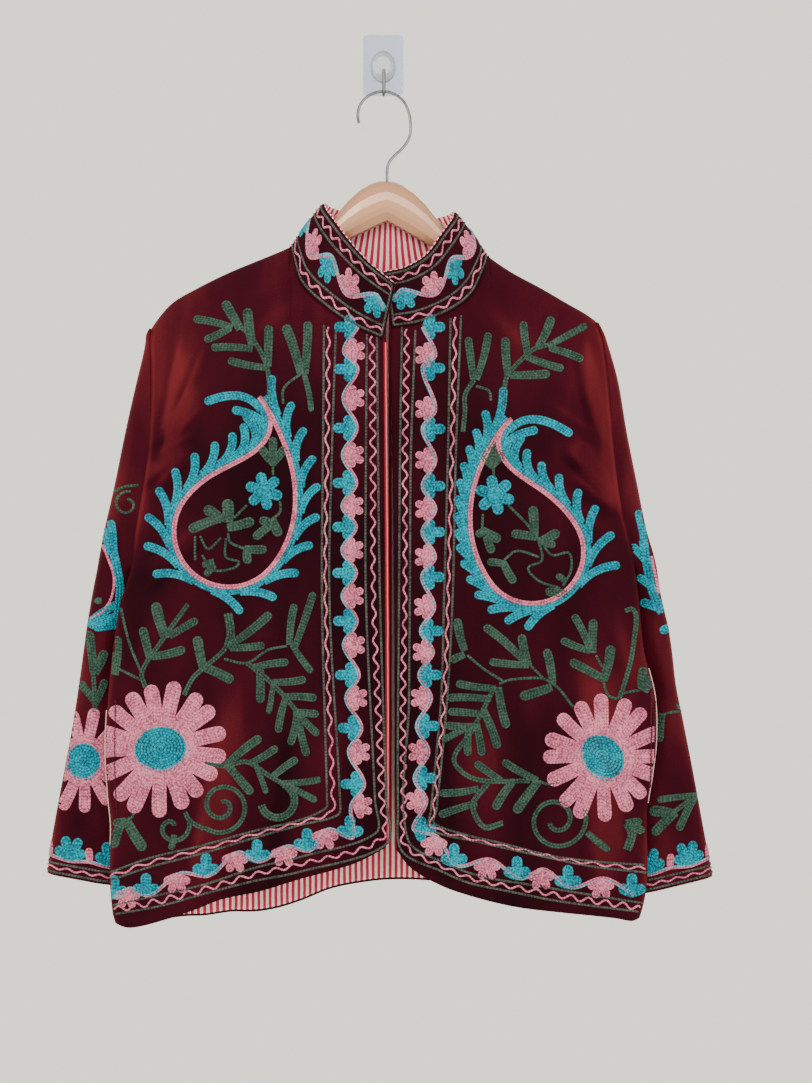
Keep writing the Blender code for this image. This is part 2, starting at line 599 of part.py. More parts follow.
def back_grid():
    """The back's outer points and the ways in, hem to top by left side to right side."""
    rows_left, parts = outer_rows("left")
    rows_right, _ = outer_rows("right")
    neck = BACK_NECK_STATIONS
    neck_steps = len(neck) - 1
    left_top = top_edge("left", SHOULDER_PARTS, [LEFT_HPS])
    right_top = top_edge("right", SHOULDER_PARTS, [RIGHT_HPS])
    edge = left_top[::-1] + [neck_point(station, "seam") for station in neck[1:-1]] + right_top
    shoulder_columns = len(SHOULDER_PARTS) - 1
    half = 0.5
    neck_half = NECK_SHARE * half
    shares = [half - neck_half - (half - neck_half) * part for part in SHOULDER_PARTS[::-1]]
    shares += [half - neck_half + 2.0 * neck_half * step / neck_steps for step in range(1, neck_steps)]
    shares += [half + neck_half + (half - neck_half) * part for part in SHOULDER_PARTS]
    hem = [Vector((read(BACK_HEM, HEM_COLUMNS, "part", "x", share),
                   read(BACK_HEM, HEM_COLUMNS, "part", "z", share))) for share in shares]
    grid = []
    last = len(shares) - 1
    for row, part in enumerate(parts):
        v_left = (rows_left[row] - rows_left[0]) / (rows_left[-1] - rows_left[0])
        v_right = (rows_right[row] - rows_right[0]) / (rows_right[-1] - rows_right[0])
        left = Vector((side_x("left", rows_left[row]), rows_left[row]))
        right = Vector((side_x("right", rows_right[row]), rows_right[row]))
        outer_y = SIDE_SEAM_Y if part is None else armhole_point("left", part, "back").y
        line = []
        for column, u in enumerate(shares):
            v = v_left + (v_right - v_left) * u
            top = Vector((edge[column].x, edge[column].z))
            corners = ((1 - u) * (1 - v) * hem[0] + u * (1 - v) * hem[-1]
                       + (1 - u) * v * Vector((edge[0].x, edge[0].z))
                       + u * v * Vector((edge[-1].x, edge[-1].z)))
            flat = (1 - v) * hem[column] + v * top + (1 - u) * left + u * right - corners
            below_top = max(0.0, top.y - flat.y)
            sheet = back_sheet(flat.x, flat.y)
            from_side = min(abs(left.x - flat.x), abs(right.x - flat.x))
            side_share = 1.0 - turn(from_side, SIDE_TURN)
            top_share = 1.0 - turn(below_top, SHOULDER_TURN)
            depth = (sheet + (outer_y - sheet) * side_share + (edge[column].y - sheet) * top_share
                     - (SHOULDER_SEAM_Y - sheet) * side_share * top_share)
            point = Vector((flat.x, depth, flat.y))
            in_neck = shoulder_columns <= column <= last - shoulder_columns
            on_shoulder = column <= shoulder_columns or column >= last - shoulder_columns
            if row == len(parts) - 1:
                point.z -= SEAM_GAP / 2.0 if in_neck else 0.0
                point.y += SEAM_GAP / 2.0 if on_shoulder else 0.0
            if column in (0, last):
                sign = -1.0 if column == 0 else 1.0
                if part is None:
                    point.y += SEAM_GAP / 2.0
                else:
                    point.x -= sign * SEAM_GAP / 2.0
                    if part in (0.0, 1.0):
                        point.y = outer_y + SEAM_GAP / 2.0
            line.append(point)
        grid.append(line)
    inward = [[-surface_inward(grid, row, column, False) for column in range(last + 1)]
              for row in range(len(parts))]
    for column in range(last + 1):
        if column < shoulder_columns:
            inward[-1][column] = shoulder_inward("left", edge[column].x)
        elif column > last - shoulder_columns:
            inward[-1][column] = shoulder_inward("right", edge[column].x)
        else:
            inward[-1][column] = neck_inward(neck[column - shoulder_columns])
    for row, part in enumerate(parts):
        for column, side, sign in ((0, "left", -1.0), (last, "right", 1.0)):
            if part is None:
                inward[row][column] = Vector((-sign, 0.0, 0.0))
            else:
                inward[row][column] = armhole_inward(side, part, "back")
    return grid, inward


def sleeve_sheet(side, x, z):
    """Front depth of a sleeve: full outside the body's edge, pressed flat behind it."""
    sign = -1.0 if side == "left" else 1.0
    cuff_z = SLEEVE[side][-1][SLEEVE_COLUMNS.index("outer_z")]
    full = SLEEVE_PUFF_Y + (CUFF_FRONT_Y - SLEEVE_PUFF_Y) * smooth(z, UNDERARM_Z[side], cuff_z)
    outside = sign * (x - side_x(side, z))
    tucked = SLEEVE_BEHIND_Y + (full - SLEEVE_BEHIND_Y) * smooth(outside, -1.0, SLEEVE_TUCK)
    return full + (tucked - full) * smooth(UNDERARM_Z[side] - z, 0.0, SLEEVE_TUCK_DROP)


def sleeve_row(side, starts, outer):
    """One ring: from the inner edge over the front to the outer edge and back behind."""
    line = []
    for face in ("front", "back"):
        start = starts[face]
        width = abs(outer.x - start.x)
        parts = SLEEVE_PARTS if face == "front" else SLEEVE_PARTS[-2::-1]
        for part in parts:
            flat = start.lerp(outer, part)
            sheet = sleeve_sheet(side, flat.x, flat.z) if face == "front" else SLEEVE_BACK_Y
            depth = start.y + (sheet - start.y) * turn(width * part, min(SLEEVE_TURN, width))
            depth = outer.y + (depth - outer.y) * turn(width * (1.0 - part), min(SLEEVE_TURN, width))
            line.append(Vector((flat.x, depth, flat.z)))
    return line


def sleeve_grid(side):
    """A sleeve's outer points. Rows beside the armhole are open, those below it are rings."""
    sign = -1.0 if side == "left" else 1.0
    grid = []
    for row in ARMHOLE:
        starts = {}
        for face in ("front", "back"):
            starts[face] = armhole_point(side, row[0], face)
            starts[face].x += sign * SEAM_GAP / 2.0
        height = starts["front"].z
        outer = Vector((read(SLEEVE_EDGE[side], SLEEVE_EDGE_COLUMNS, "z", "x", height),
                        SHOULDER_SEAM_Y, height))
        line = sleeve_row(side, starts, outer)
        if row[0] == 0.0:
            line = [point + Vector((0.0, TIP_WIDTH * (2.0 * step / (len(line) - 1) - 1.0), 0.0))
                    for step, point in enumerate(line)]
        grid.append(line)
    weld_from = len(grid) - 1
    for inner_x, inner_y, inner_z, outer_x, outer_z in SLEEVE[side]:
        inner = Vector((inner_x, inner_y, inner_z))
        grid.append(sleeve_row(side, {"front": inner, "back": inner},
                               Vector((outer_x, SHOULDER_SEAM_Y, outer_z))))
    for line in grid[weld_from:]:
        line.pop()
    inward = []
    for row, line in enumerate(grid):
        closed = row >= weld_from
        inward.append([surface_inward(grid, row, column, closed) * -sign for column in range(len(line))])
    for row, shape in enumerate(ARMHOLE):
        inward[row][0] = armhole_inward(side, shape[0], "front")
        if row < weld_from:
            inward[row][-1] = armhole_inward(side, shape[0], "back")
    inward[0] = [armhole_inward(side, 0.0, "front") for _ in inward[0]]
    inward[1][1:-1] = [(way + inward[0][0]).normalized() for way in inward[1][1:-1]]
    return grid, inward, weld_from


def collar_grid():
    """The collar's outer points, seam to rim by left end to right end."""
    stations = FRONT_NECK_STATIONS + BACK_NECK_STATIONS[1:]
    stations += tuple(LAST_STATION - station for station in FRONT_NECK_STATIONS[-2::-1])
    ways = []
    for station in stations:
        flat = neck_inward(station)
        flat.z = 0.0
        ways.append(flat.normalized())
    grid = []
    inward = []
    for row in range(COLLAR_ROWS + 1):
        rise = row / COLLAR_ROWS
        line = []
        for station, way in zip(stations, ways):
            seam = neck_point(station, "seam")
            seam.z += SEAM_GAP / 2.0
            rim = neck_point(station, "rim")
            bulge = COLLAR_BULGE * math.sin(math.pi * rise)
            line.append(seam.lerp(rim, rise) - way * bulge)
        grid.append(line)
        share = smooth(rise, 0.0, 1.0)
        inward.append([neck_inward(station).lerp(way, share).normalized()
                       for station, way in zip(stations, ways)])
    return grid, inward


def build_garment(velvet, lining, edging):
    grids = {}
    for side in ("left", "right"):
        grids[side] = front_grid(side)
        wall("front_" + side, *grids[side], VELVET_WALL, velvet, mirror=side == "right")
    back, back_in = back_grid()
    wall("back", back, back_in, VELVET_WALL, velvet)
    for side in ("left", "right"):
        grid, inward, weld_from = sleeve_grid(side)
        wall("sleeve_" + side, grid, inward, VELVET_WALL, velvet, weld_from=weld_from, rising=False)
    collar, collar_in = collar_grid()
    wall("collar", collar, collar_in, VELVET_WALL, velvet)
    build_collar_lining(collar, collar_in, lining)
    build_back_lining(back, back_in, lining)
    build_front_lining(grids["left"], lining)
    for side, low, high in POCKETS:
        build_pocket_edge(side, low, high, back, back_in, edging)


def build_collar_lining(grid, inward, finish):
    """The collar's own points moved in, standing a little proud at the rim."""
    points = [[point.copy() for point in line] for line in grid[1:]]
    for column, point in enumerate(points[-1]):
        rise = (grid[-1][column] - grid[-2][column]).normalized()
        points[-1][column] = point + rise * COLLAR_LINING_RISE
    wall("collar_lining", points, inward[1:], LINING_WALL, finish, lift=VELVET_WALL + LAYER_GAP)


def build_back_lining(grid, inward, finish):
    """The back's own points moved in, clear of the side and shoulder turns and above the hem."""
    kept = slice(LINING_TRIM, -LINING_TRIM)
    points = [[point.copy() for point in line[kept]] for line in grid[:-LINING_TRIM]]
    ways = [line[kept] for line in inward[:-LINING_TRIM]]
    for column, point in enumerate(points[0]):
        rise = (points[1][column] - point).normalized()
        points[0][column] = point + rise * LINING_HEM_RISE
    wall("lining_back", points, ways, LINING_WALL, finish, lift=VELVET_WALL + LAYER_GAP)


def build_front_lining(front, finish):
    """A strip behind the left front's edge, showing past it."""
    grid, inward = front
    points = []
    ways = []
    for line, way in zip(grid[:-1], inward[:-1]):
        start = line[0]
        back_way = (line[1] - line[0]).normalized()
        points.append([start - back_way * LINING_EDGE, start + back_way * LINING_TUCK])
        ways.append([way[0], way[0]])
    wall("lining_front_left", points, ways, LINING_WALL, finish, lift=VELVET_WALL + LAYER_GAP)


def build_pocket_edge(side, low, high, grid, inward, finish):
    """A narrow turned edge on the back's side, from the back's own points moved out."""
    columns = (0, 1, 2) if side == "left" else (-1, -2, -3)
    points = [[grid[row][column] for column in columns] for row in range(low, high + 1)]
    ways = [[-inward[row][column] for column in columns] for row in range(low, high + 1)]
    wall("pocket_edge_" + side, points, ways, POCKET_LIP, finish, lift=LAYER_GAP)


def hanger_station(side, reach, top, bottom, half_depth):
    """One upright ring of the hanger."""
    sign = -1.0 if side == "left" else 1.0
    middle = (top + bottom) / 2.0
    half = (top - bottom) / 2.0
    section = HANGER_SECTION + tuple((-across, up) for across, up in HANGER_SECTION[-2:0:-1])
    return [Vector((HANGER_X + sign * reach, HANGER_Y + half_depth * across, middle + half * up))
            for across, up in section]


def build_hanger(finish):
    """Rings from the left arm's end through the head to the right arm's end."""
    stations = []
    for side in ("left", "right"):
        sign = -1.0 if side == "left" else 1.0
        rings = []
        for reach, top, bottom, half_depth in HANGER_HEAD:
            drop = sign * reach * math.tan(HANGER_TILT)
            rings.append(hanger_station(side, reach, top - drop, bottom - drop, half_depth))
        near, far = HANGER_ARM_REACH[side]
        for share, clearance, height, half_depth in HANGER_ARM:
            reach = near + (far - near) * share
            x = HANGER_X + sign * reach
            steep = (shoulder_z(side, x + HANGER_SLOPE_SPAN) - shoulder_z(side, x - HANGER_SLOPE_SPAN))
            steep /= 2.0 * HANGER_SLOPE_SPAN
            top = shoulder_z(side, x) - (VELVET_WALL + clearance) * math.hypot(1.0, steep)
            rings.append(hanger_station(side, reach, top, top - height, half_depth))
        stations.append(rings)
    left, right = stations
    rings = left[:0:-1] + right
    mesh = bmesh.new()
    made = [[mesh.verts.new(point * MM) for point in ring] for ring in rings]
    for before, after in zip(made, made[1:]):
        for step in range(len(before)):
            following = (step + 1) % len(before)
            mesh.faces.new((before[step], before[following], after[following], after[step]))
    mesh.faces.new(made[0])
    mesh.faces.new(made[-1][::-1])
    return finish_mesh("hanger_body", mesh, finish)


def smooth_route(route, steps):
    """Points along a curve through the route's own points (Catmull-Rom)."""
    padded = [2.0 * route[0] - route[1]] + list(route) + [2.0 * route[-1] - route[-2]]
    points = []
    for before, start, end, after in zip(padded, padded[1:], padded[2:], padded[3:]):
        for step in range(steps):
            part = step / steps
            points.append(0.5 * (2.0 * start + (end - before) * part
                                 + (2.0 * before - 5.0 * start + 4.0 * end - after) * part ** 2
                                 + (3.0 * start - before - 3.0 * end + after) * part ** 3))
    points.append(route[-1])
    return points


def wire(name, route, radius, finish):
    curve = bpy.data.curves.new(name, "CURVE")
    curve.dimensions = "3D"
    curve.bevel_depth = radius * MM
    curve.bevel_resolution = WIRE_SIDES_RESOLUTION
    curve.render_resolution_u = 0
    curve.use_fill_caps = True
    spline = curve.splines.new("POLY")
    points = smooth_route(route, HOOK_STEPS)
    spline.points.add(len(points) - 1)
    for target, point in zip(spline.points, points):
        target.co = (*(point * MM), 1.0)
    made = bpy.data.objects.new(name, curve)
    curve.materials.append(finish)
    bpy.context.collection.objects.link(made)
    return made


def build_plate(finish):
    """A thin plate with round corners, its back face on the wall at y = 0."""
    mesh = bmesh.new()
    outline = []
    for corner, (sign_x, sign_z) in enumerate(((1, 1), (-1, 1), (-1, -1), (1, -1))):
        for step in range(PLATE_CORNER_STEPS + 1):
            angle = math.pi / 2.0 * (corner + step / PLATE_CORNER_STEPS)
            outline.append(((PLATE_WIDTH / 2.0 - PLATE_CORNER) * sign_x + PLATE_CORNER * math.cos(angle),
                            (PLATE_HEIGHT / 2.0 - PLATE_CORNER) * sign_z + PLATE_CORNER * math.sin(angle)))
    back = [mesh.verts.new(Vector((x, 0.0, z)) * MM) for x, z in outline]
    face = mesh.faces.new(back)
    moved = bmesh.ops.extrude_face_region(mesh, geom=[face])
    front = [item for item in moved["geom"] if isinstance(item, bmesh.types.BMVert)]
    bmesh.ops.translate(mesh, verts=front, vec=(0.0, -PLATE_THICKNESS * MM, 0.0))
    return finish_mesh("wall_plate", mesh, finish)


def build_boss(finish):
    """A low oval dome on the plate."""
    mesh = bmesh.new()
    start = -PLATE_THICKNESS - LAYER_GAP
    rings = []
    for depth, size in BOSS_LEVELS:
        ring = []
        for step in range(BOSS_SIDES):
            angle = 2.0 * math.pi * step / BOSS_SIDES
            ring.append(mesh.verts.new(Vector((BOSS_WIDTH / 2.0 * size * math.cos(angle),
                                               start - BOSS_DEPTH * depth,
                                               BOSS_Z + BOSS_HEIGHT / 2.0 * size * math.sin(angle))) * MM))
        rings.append(ring)
    for before, after in zip(rings, rings[1:]):
        for step in range(BOSS_SIDES):
            following = (step + 1) % BOSS_SIDES
            mesh.faces.new((before[step], before[following], after[following], after[step]))
    mesh.faces.new(rings[0])
    mesh.faces.new(rings[-1][::-1])
    return finish_mesh("wall_boss", mesh, finish)


def main():
    clear_scene()
    velvet = material("maroon_velvet", (0.085, 0.008, 0.012), 0.75)
    lining = material("striped_cotton", (0.72, 0.32, 0.33), 0.8)
    edging = material("pale_cotton", (0.78, 0.55, 0.52), 0.8)
    steel = material("steel", (0.62, 0.62, 0.60), 0.22, metallic=1.0)
    pearl = material("pearly_plastic", (0.80, 0.55, 0.40), 0.2)
    clear = material("clear_plastic", (0.85, 0.88, 0.90), 0.1, alpha=0.35)
    build_garment(velvet, lining, edging)
    build_hanger(pearl)
    wire("hanger_hook", [Vector((x, HANGER_Y, z)) for x, z in HOOK_ROUTE], WIRE_RADIUS, steel)
    wire("wall_prong", [Vector((PRONG_X, y, z)) for y, z in PRONG_ROUTE], PRONG_RADIUS, steel)
    build_plate(clear)
    build_boss(clear)


main()
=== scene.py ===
import math
import bpy
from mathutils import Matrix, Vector
import numpy as np


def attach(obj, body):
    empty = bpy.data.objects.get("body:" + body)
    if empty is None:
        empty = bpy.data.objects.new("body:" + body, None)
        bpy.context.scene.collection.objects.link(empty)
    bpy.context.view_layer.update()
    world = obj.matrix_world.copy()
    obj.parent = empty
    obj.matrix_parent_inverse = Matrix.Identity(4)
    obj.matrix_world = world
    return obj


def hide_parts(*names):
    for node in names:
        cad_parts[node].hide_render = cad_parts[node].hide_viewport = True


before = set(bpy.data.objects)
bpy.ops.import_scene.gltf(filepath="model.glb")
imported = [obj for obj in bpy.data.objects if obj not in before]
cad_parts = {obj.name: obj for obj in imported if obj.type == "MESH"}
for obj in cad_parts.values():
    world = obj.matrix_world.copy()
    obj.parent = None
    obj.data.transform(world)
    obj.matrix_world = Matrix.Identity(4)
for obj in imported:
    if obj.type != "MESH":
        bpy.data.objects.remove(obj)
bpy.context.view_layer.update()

# Embroidered velvet jacket on its hanger. Lengths are in millimetres until a mesh is made.
# The picture plane is 812 x 1083 pixels, one pixel to a millimetre 50 mm in front of the wall.
mm = 0.001
picture = dict(width=812.0, height=1083.0, eyeX=23.6, eyeZ=-492.7, planeY=-50.0, eyeDistance=1400.0)


def makeCamera():
    data = bpy.data.cameras.new("camera")
    data.sensor_width = 36.0
    data.lens = data.sensor_width * picture["eyeDistance"] / picture["height"]
    camera = bpy.data.objects.new("camera", data)
    eyeY = picture["planeY"] - picture["eyeDistance"]
    camera.location = (picture["eyeX"] * mm, eyeY * mm, picture["eyeZ"] * mm)
    camera.rotation_euler = (math.pi / 2, 0.0, 0.0)
    bpy.context.collection.objects.link(camera)
    bpy.context.scene.camera = camera


def makeLight(name, place, target, size, power, colour):
    data = bpy.data.lights.new(name, "AREA")
    data.shape = "RECTANGLE"
    data.size, data.size_y = size
    data.energy = power
    data.color = colour
    lamp = bpy.data.objects.new(name, data)
    lamp.location = place
    way = [end - start for start, end in zip(place, target)]
    lamp.rotation_euler = Vector(way).to_track_quat("-Z", "Y").to_euler()
    bpy.context.collection.objects.link(lamp)


studio = dict(wall=(0.78, 0.745, 0.67), worldPower=1.95, floorZ=-1.3, floorHalf=1.1, floorFront=-1.4,
              floorBack=0.6)
# Lights, in metres: place, target, size, power, colour.
lights = dict(
    keyLight=((-0.9, -1.9, 0.55), (0.0, 0.0, -0.5), (1.3, 1.0), 20.0, (1.0, 0.97, 0.93)),
    fillLight=((1.3, -1.6, -0.1), (0.0, 0.0, -0.5), (1.2, 1.4), 7.0, (0.95, 0.97, 1.0)),
    stripLight=((0.0, -1.6, 0.5), (0.0, 0.0, -0.15), (0.9, 0.3), 4.0, (1.0, 1.0, 1.0)),
    backLight=((0.6, 1.8, 0.6), (0.0, 0.0, -0.4), (1.4, 1.4), 16.0, (1.0, 0.98, 0.95)))


def makeStudio():
    world = bpy.data.worlds.new("studio")
    world.use_nodes = True
    background = world.node_tree.nodes["Background"]
    background.inputs["Color"].default_value = (*studio["wall"], 1.0)
    background.inputs["Strength"].default_value = studio["worldPower"]
    bpy.context.scene.world = world
    for name, settings in lights.items():
        makeLight(name, *settings)
    half = studio["floorHalf"]
    corners = [(-half, studio["floorFront"]), (half, studio["floorFront"]),
               (half, studio["floorBack"]), (-half, studio["floorBack"])]
    data = bpy.data.meshes.new("floor")
    data.from_pydata([(x, y, studio["floorZ"]) for x, y in corners], [], [(0, 1, 2, 3)])
    floor = bpy.data.objects.new("floor", data)
    bpy.context.collection.objects.link(floor)
    floor.data.materials.append(plainMaterial("pale floor", studio["wall"], 0.9))


# Materials

def plainMaterial(name, colour, roughness, **sockets):
    made = bpy.data.materials.new(name)
    made.use_nodes = True
    shader = made.node_tree.nodes["Principled BSDF"]
    shader.inputs["Base Color"].default_value = (*colour, 1.0)
    shader.inputs["Roughness"].default_value = roughness
    for socket, value in sockets.items():
        label = socket.replace("_", " ")
        shader.inputs[label].default_value = value
    return made


def addNode(tree, kind, inputs=None, **settings):
    node = tree.nodes.new(kind)
    for setting, value in settings.items():
        setattr(node, setting, value)
    for socket, value in (inputs or {}).items():
        if isinstance(value, bpy.types.NodeSocket):
            tree.links.new(value, node.inputs[socket])
        else:
            node.inputs[socket].default_value = value
    return node


def addRamp(tree, factor, stops):
    ramp = addNode(tree, "ShaderNodeValToRGB", {"Fac": factor})
    band = ramp.color_ramp
    while len(band.elements) < len(stops):
        band.elements.new(0.5)
    for element, (place, colour) in zip(band.elements, stops):
        element.position = place
        element.color = (*colour, 1.0)
    return ramp.outputs["Color"]


def mathNode(tree, operation, first, second=0.0):
    return addNode(tree, "ShaderNodeMath", {0: first, 1: second}, operation=operation).outputs[0]


def driftNode(tree, noise, amount):
    # Noise from 0 to 1 into a drift of half the amount either way.
    return mathNode(tree, "MULTIPLY", mathNode(tree, "SUBTRACT", noise, 0.5), amount)


def objectNoise(tree, scale, detail, stretch=(1.0, 1.0, 1.0)):
    # Noise on Object coordinates; stretch multiplies each axis first.
    place = addNode(tree, "ShaderNodeTexCoord").outputs["Object"]
    mapped = addNode(tree, "ShaderNodeMapping", {"Vector": place, "Scale": stretch}).outputs[0]
    noise = addNode(tree, "ShaderNodeTexNoise", {"Vector": mapped, "Scale": scale, "Detail": detail})
    return noise.outputs["Fac"]


def addBump(tree, shader, height, strength, distance):
    bump = addNode(tree, "ShaderNodeBump", {"Height": height, "Strength": strength, "Distance": distance})
    tree.links.new(bump.outputs[0], shader.inputs["Normal"])


# Drifts of the pile's tone, clouds, brush marks and grain: noise scale, detail, stretch along Z, amount.
# deep is the pile's colour in painted shade, lit its colour in painted sheen, warm lies between.
velvetLook = dict(deep=(0.011, 0.0002, 0.0024), warm=(0.037, 0.0013, 0.0062), lit=(0.112, 0.0105, 0.0145),
                  roughness=0.75, sheen=0.13, sheenTint=(0.55, 0.08, 0.10, 1.0), sheenRoughness=0.35,
                  drifts=[(9.0, 3.0, 0.55, 0.5), (34.0, 4.0, 0.3, 0.45), (900.0, 2.0, 1.0, 0.22)],
                  bump=0.35, bumpDepth=0.0006)


def velvetMaterial():
    # Pile: the colour runs from deep to warm to lit with the pile's tone attribute, which holds painted sheen
    # on edges and ridges and painted shade in troughs, and with the drifts.
    look = velvetLook
    made = plainMaterial("maroon velvet", look["deep"], look["roughness"], Sheen_Weight=look["sheen"],
                         Sheen_Tint=look["sheenTint"], Sheen_Roughness=look["sheenRoughness"],
                         Specular_IOR_Level=0.05)
    tree = made.node_tree
    shader = tree.nodes["Principled BSDF"]
    # The attribute is part uneven tone, part painted sheen and painted shade.
    mixed = addNode(tree, "ShaderNodeAttribute", attribute_name="pileToneAndSheen").outputs["Fac"]
    for scale, detail, stretch, amount in look["drifts"]:
        grain = objectNoise(tree, scale, detail, (1.0, 1.0, stretch))
        mixed = mathNode(tree, "ADD", mixed, driftNode(tree, grain, amount))
    colour = addRamp(tree, mixed, [(0.08, look["deep"]), (0.48, look["warm"]), (0.95, look["lit"])])
    tree.links.new(colour, shader.inputs["Base Color"])
    addBump(tree, shader, grain, look["bump"], look["bumpDepth"])
    return made


# soft is the share over which one stripe fades into the next; the rest are noise scales, shades and bumps.
stripeLook = dict(soft=0.05, wobbleScale=60.0, wobble=0.16, grainScale=420.0, shade=(0.82, 0.80, 0.80),
                  weaveScale=0.9, weaveBend=0.6, bump=0.12, bumpDepth=0.0003)


def stripedMaterial(name, period, red, pale, share):
    # Woven stripes across the UV map's U, which is in millimetres.
    look = stripeLook
    made = plainMaterial(name, red, 0.85, Sheen_Weight=0.12, Specular_IOR_Level=0.2)
    tree = made.node_tree
    shader = tree.nodes["Principled BSDF"]
    uv = addNode(tree, "ShaderNodeUVMap", uv_map="cloth").outputs[0]
    across = addNode(tree, "ShaderNodeSeparateXYZ", {0: uv})
    wobble = driftNode(tree, objectNoise(tree, look["wobbleScale"], 2.0), look["wobble"])
    turns = mathNode(tree, "ADD", mathNode(tree, "DIVIDE", across.outputs[0], period), wobble)
    soft = look["soft"]
    colour = addRamp(tree, mathNode(tree, "FRACT", turns), [
        (0.0, red), (share - soft, red), (share + soft, pale), (1.0 - soft, pale), (1.0, red)])
    grain = objectNoise(tree, look["grainScale"], 2.0)
    shade = addRamp(tree, grain, [(0.25, look["shade"]), (0.75, (1.0, 1.0, 1.0))])
    mixed = addNode(tree, "ShaderNodeMix", {"Factor": 1.0, "A": colour, "B": shade}, data_type="RGBA",
                    blend_type="MULTIPLY")
    tree.links.new(mixed.outputs["Result"], shader.inputs["Base Color"])
    weave = addNode(tree, "ShaderNodeTexWave", {"Vector": uv, "Scale": look["weaveScale"],
                                                "Distortion": look["weaveBend"]})
    addBump(tree, shader, weave.outputs["Fac"], look["bump"], look["bumpDepth"])
    return made


# slant bends a link's ends back; slit sets the middle line's width and the next number how far it is darkened
# as painted shade; the link's share is how far each hump is lightened as a painted highlight and each gap
# darkened as painted shade; drifts are noise scale, detail, amount.
threadLook = dict(slant=0.45, slit=2.6, slitPaintedShade=0.25, linkShadeShare=0.42, middleTone=0.2,
                  drifts=[(420.0, 3.0, 1.5), (60.0, 2.0, 0.7)], fibreScale=2400.0, fibre=0.4, bump=0.5,
                  bumpDepth=0.0005)


def threadMaterial(name, dark, light):
    # Chain stitch: V-shaped links along the UV map's U, lighter on each link's hump as a painted highlight and
    # darker between links and down a slit in the middle of V as painted shade, and a drifting tone.
    look = threadLook
    made = plainMaterial(name, light, 0.8, Sheen_Weight=0.07, Specular_IOR_Level=0.1)
    tree = made.node_tree
    shader = tree.nodes["Principled BSDF"]
    uv = addNode(tree, "ShaderNodeUVMap", uv_map="cloth").outputs[0]
    parts = addNode(tree, "ShaderNodeSeparateXYZ", {0: uv})
    off = mathNode(tree, "ABSOLUTE", parts.outputs[1])
    bent = mathNode(tree, "ADD", parts.outputs[0], mathNode(tree, "MULTIPLY", off, look["slant"]))
    # Each link's hump is lighter as a painted highlight and the gap between links darker as painted shade; the
    # bump uses the same shape.
    hump = mathNode(tree, "SINE", mathNode(tree, "MULTIPLY", mathNode(tree, "FRACT", bent), math.pi))
    # The slit down the middle is darkened as painted shade.
    slit = mathNode(tree, "MINIMUM", mathNode(tree, "MULTIPLY", off, look["slit"]), 1.0)
    slitShadeFactor = mathNode(tree, "ADD", mathNode(tree, "MULTIPLY", slit, look["slitPaintedShade"]),
                      1.0 - look["slitPaintedShade"])
    link = mathNode(tree, "MULTIPLY", hump, slitShadeFactor)
    tone = mathNode(tree, "ADD", mathNode(tree, "MULTIPLY", link, look["linkShadeShare"]), look["middleTone"])
    for scale, detail, amount in look["drifts"]:
        tone = mathNode(tree, "ADD", tone, driftNode(tree, objectNoise(tree, scale, detail), amount))
    # Low tones, the gaps and the slit, fall to half of dark as painted shade; high tones on the humps rise to
    # light as a painted highlight.
    colour = addRamp(tree, tone, [(0.0, tuple(0.5 * value for value in dark)), (0.3, dark), (0.75, light)])
    tree.links.new(colour, shader.inputs["Base Color"])
    fibre = mathNode(tree, "MULTIPLY", objectNoise(tree, look["fibreScale"], 2.0), look["fibre"])
    addBump(tree, shader, mathNode(tree, "ADD", link, fibre), look["bump"], look["bumpDepth"])
    return made


def facingHighlightShadeMaterial(name, roughness, clouds, bump, stops, **sockets):
    # A moulded or drawn surface with painted light: the colour runs from a painted highlight face on to
    # painted shade edge on, drifting with faint clouds.
    made = plainMaterial(name, stops[0][1], roughness, **sockets)
    tree = made.node_tree
    shader = tree.nodes["Principled BSDF"]
    scale, drift = clouds
    cloud = objectNoise(tree, scale, 3.0, (1.0, 1.0, 0.5))
    # Face on gets the painted highlight, edge on the painted shade.
    facing = addNode(tree, "ShaderNodeLayerWeight", {"Blend": 0.35}).outputs["Facing"]
    tone = mathNode(tree, "ADD", facing, driftNode(tree, cloud, drift))
    tree.links.new(addRamp(tree, tone, stops), shader.inputs["Base Color"])
    addBump(tree, shader, cloud, bump, 0.002)
    return made


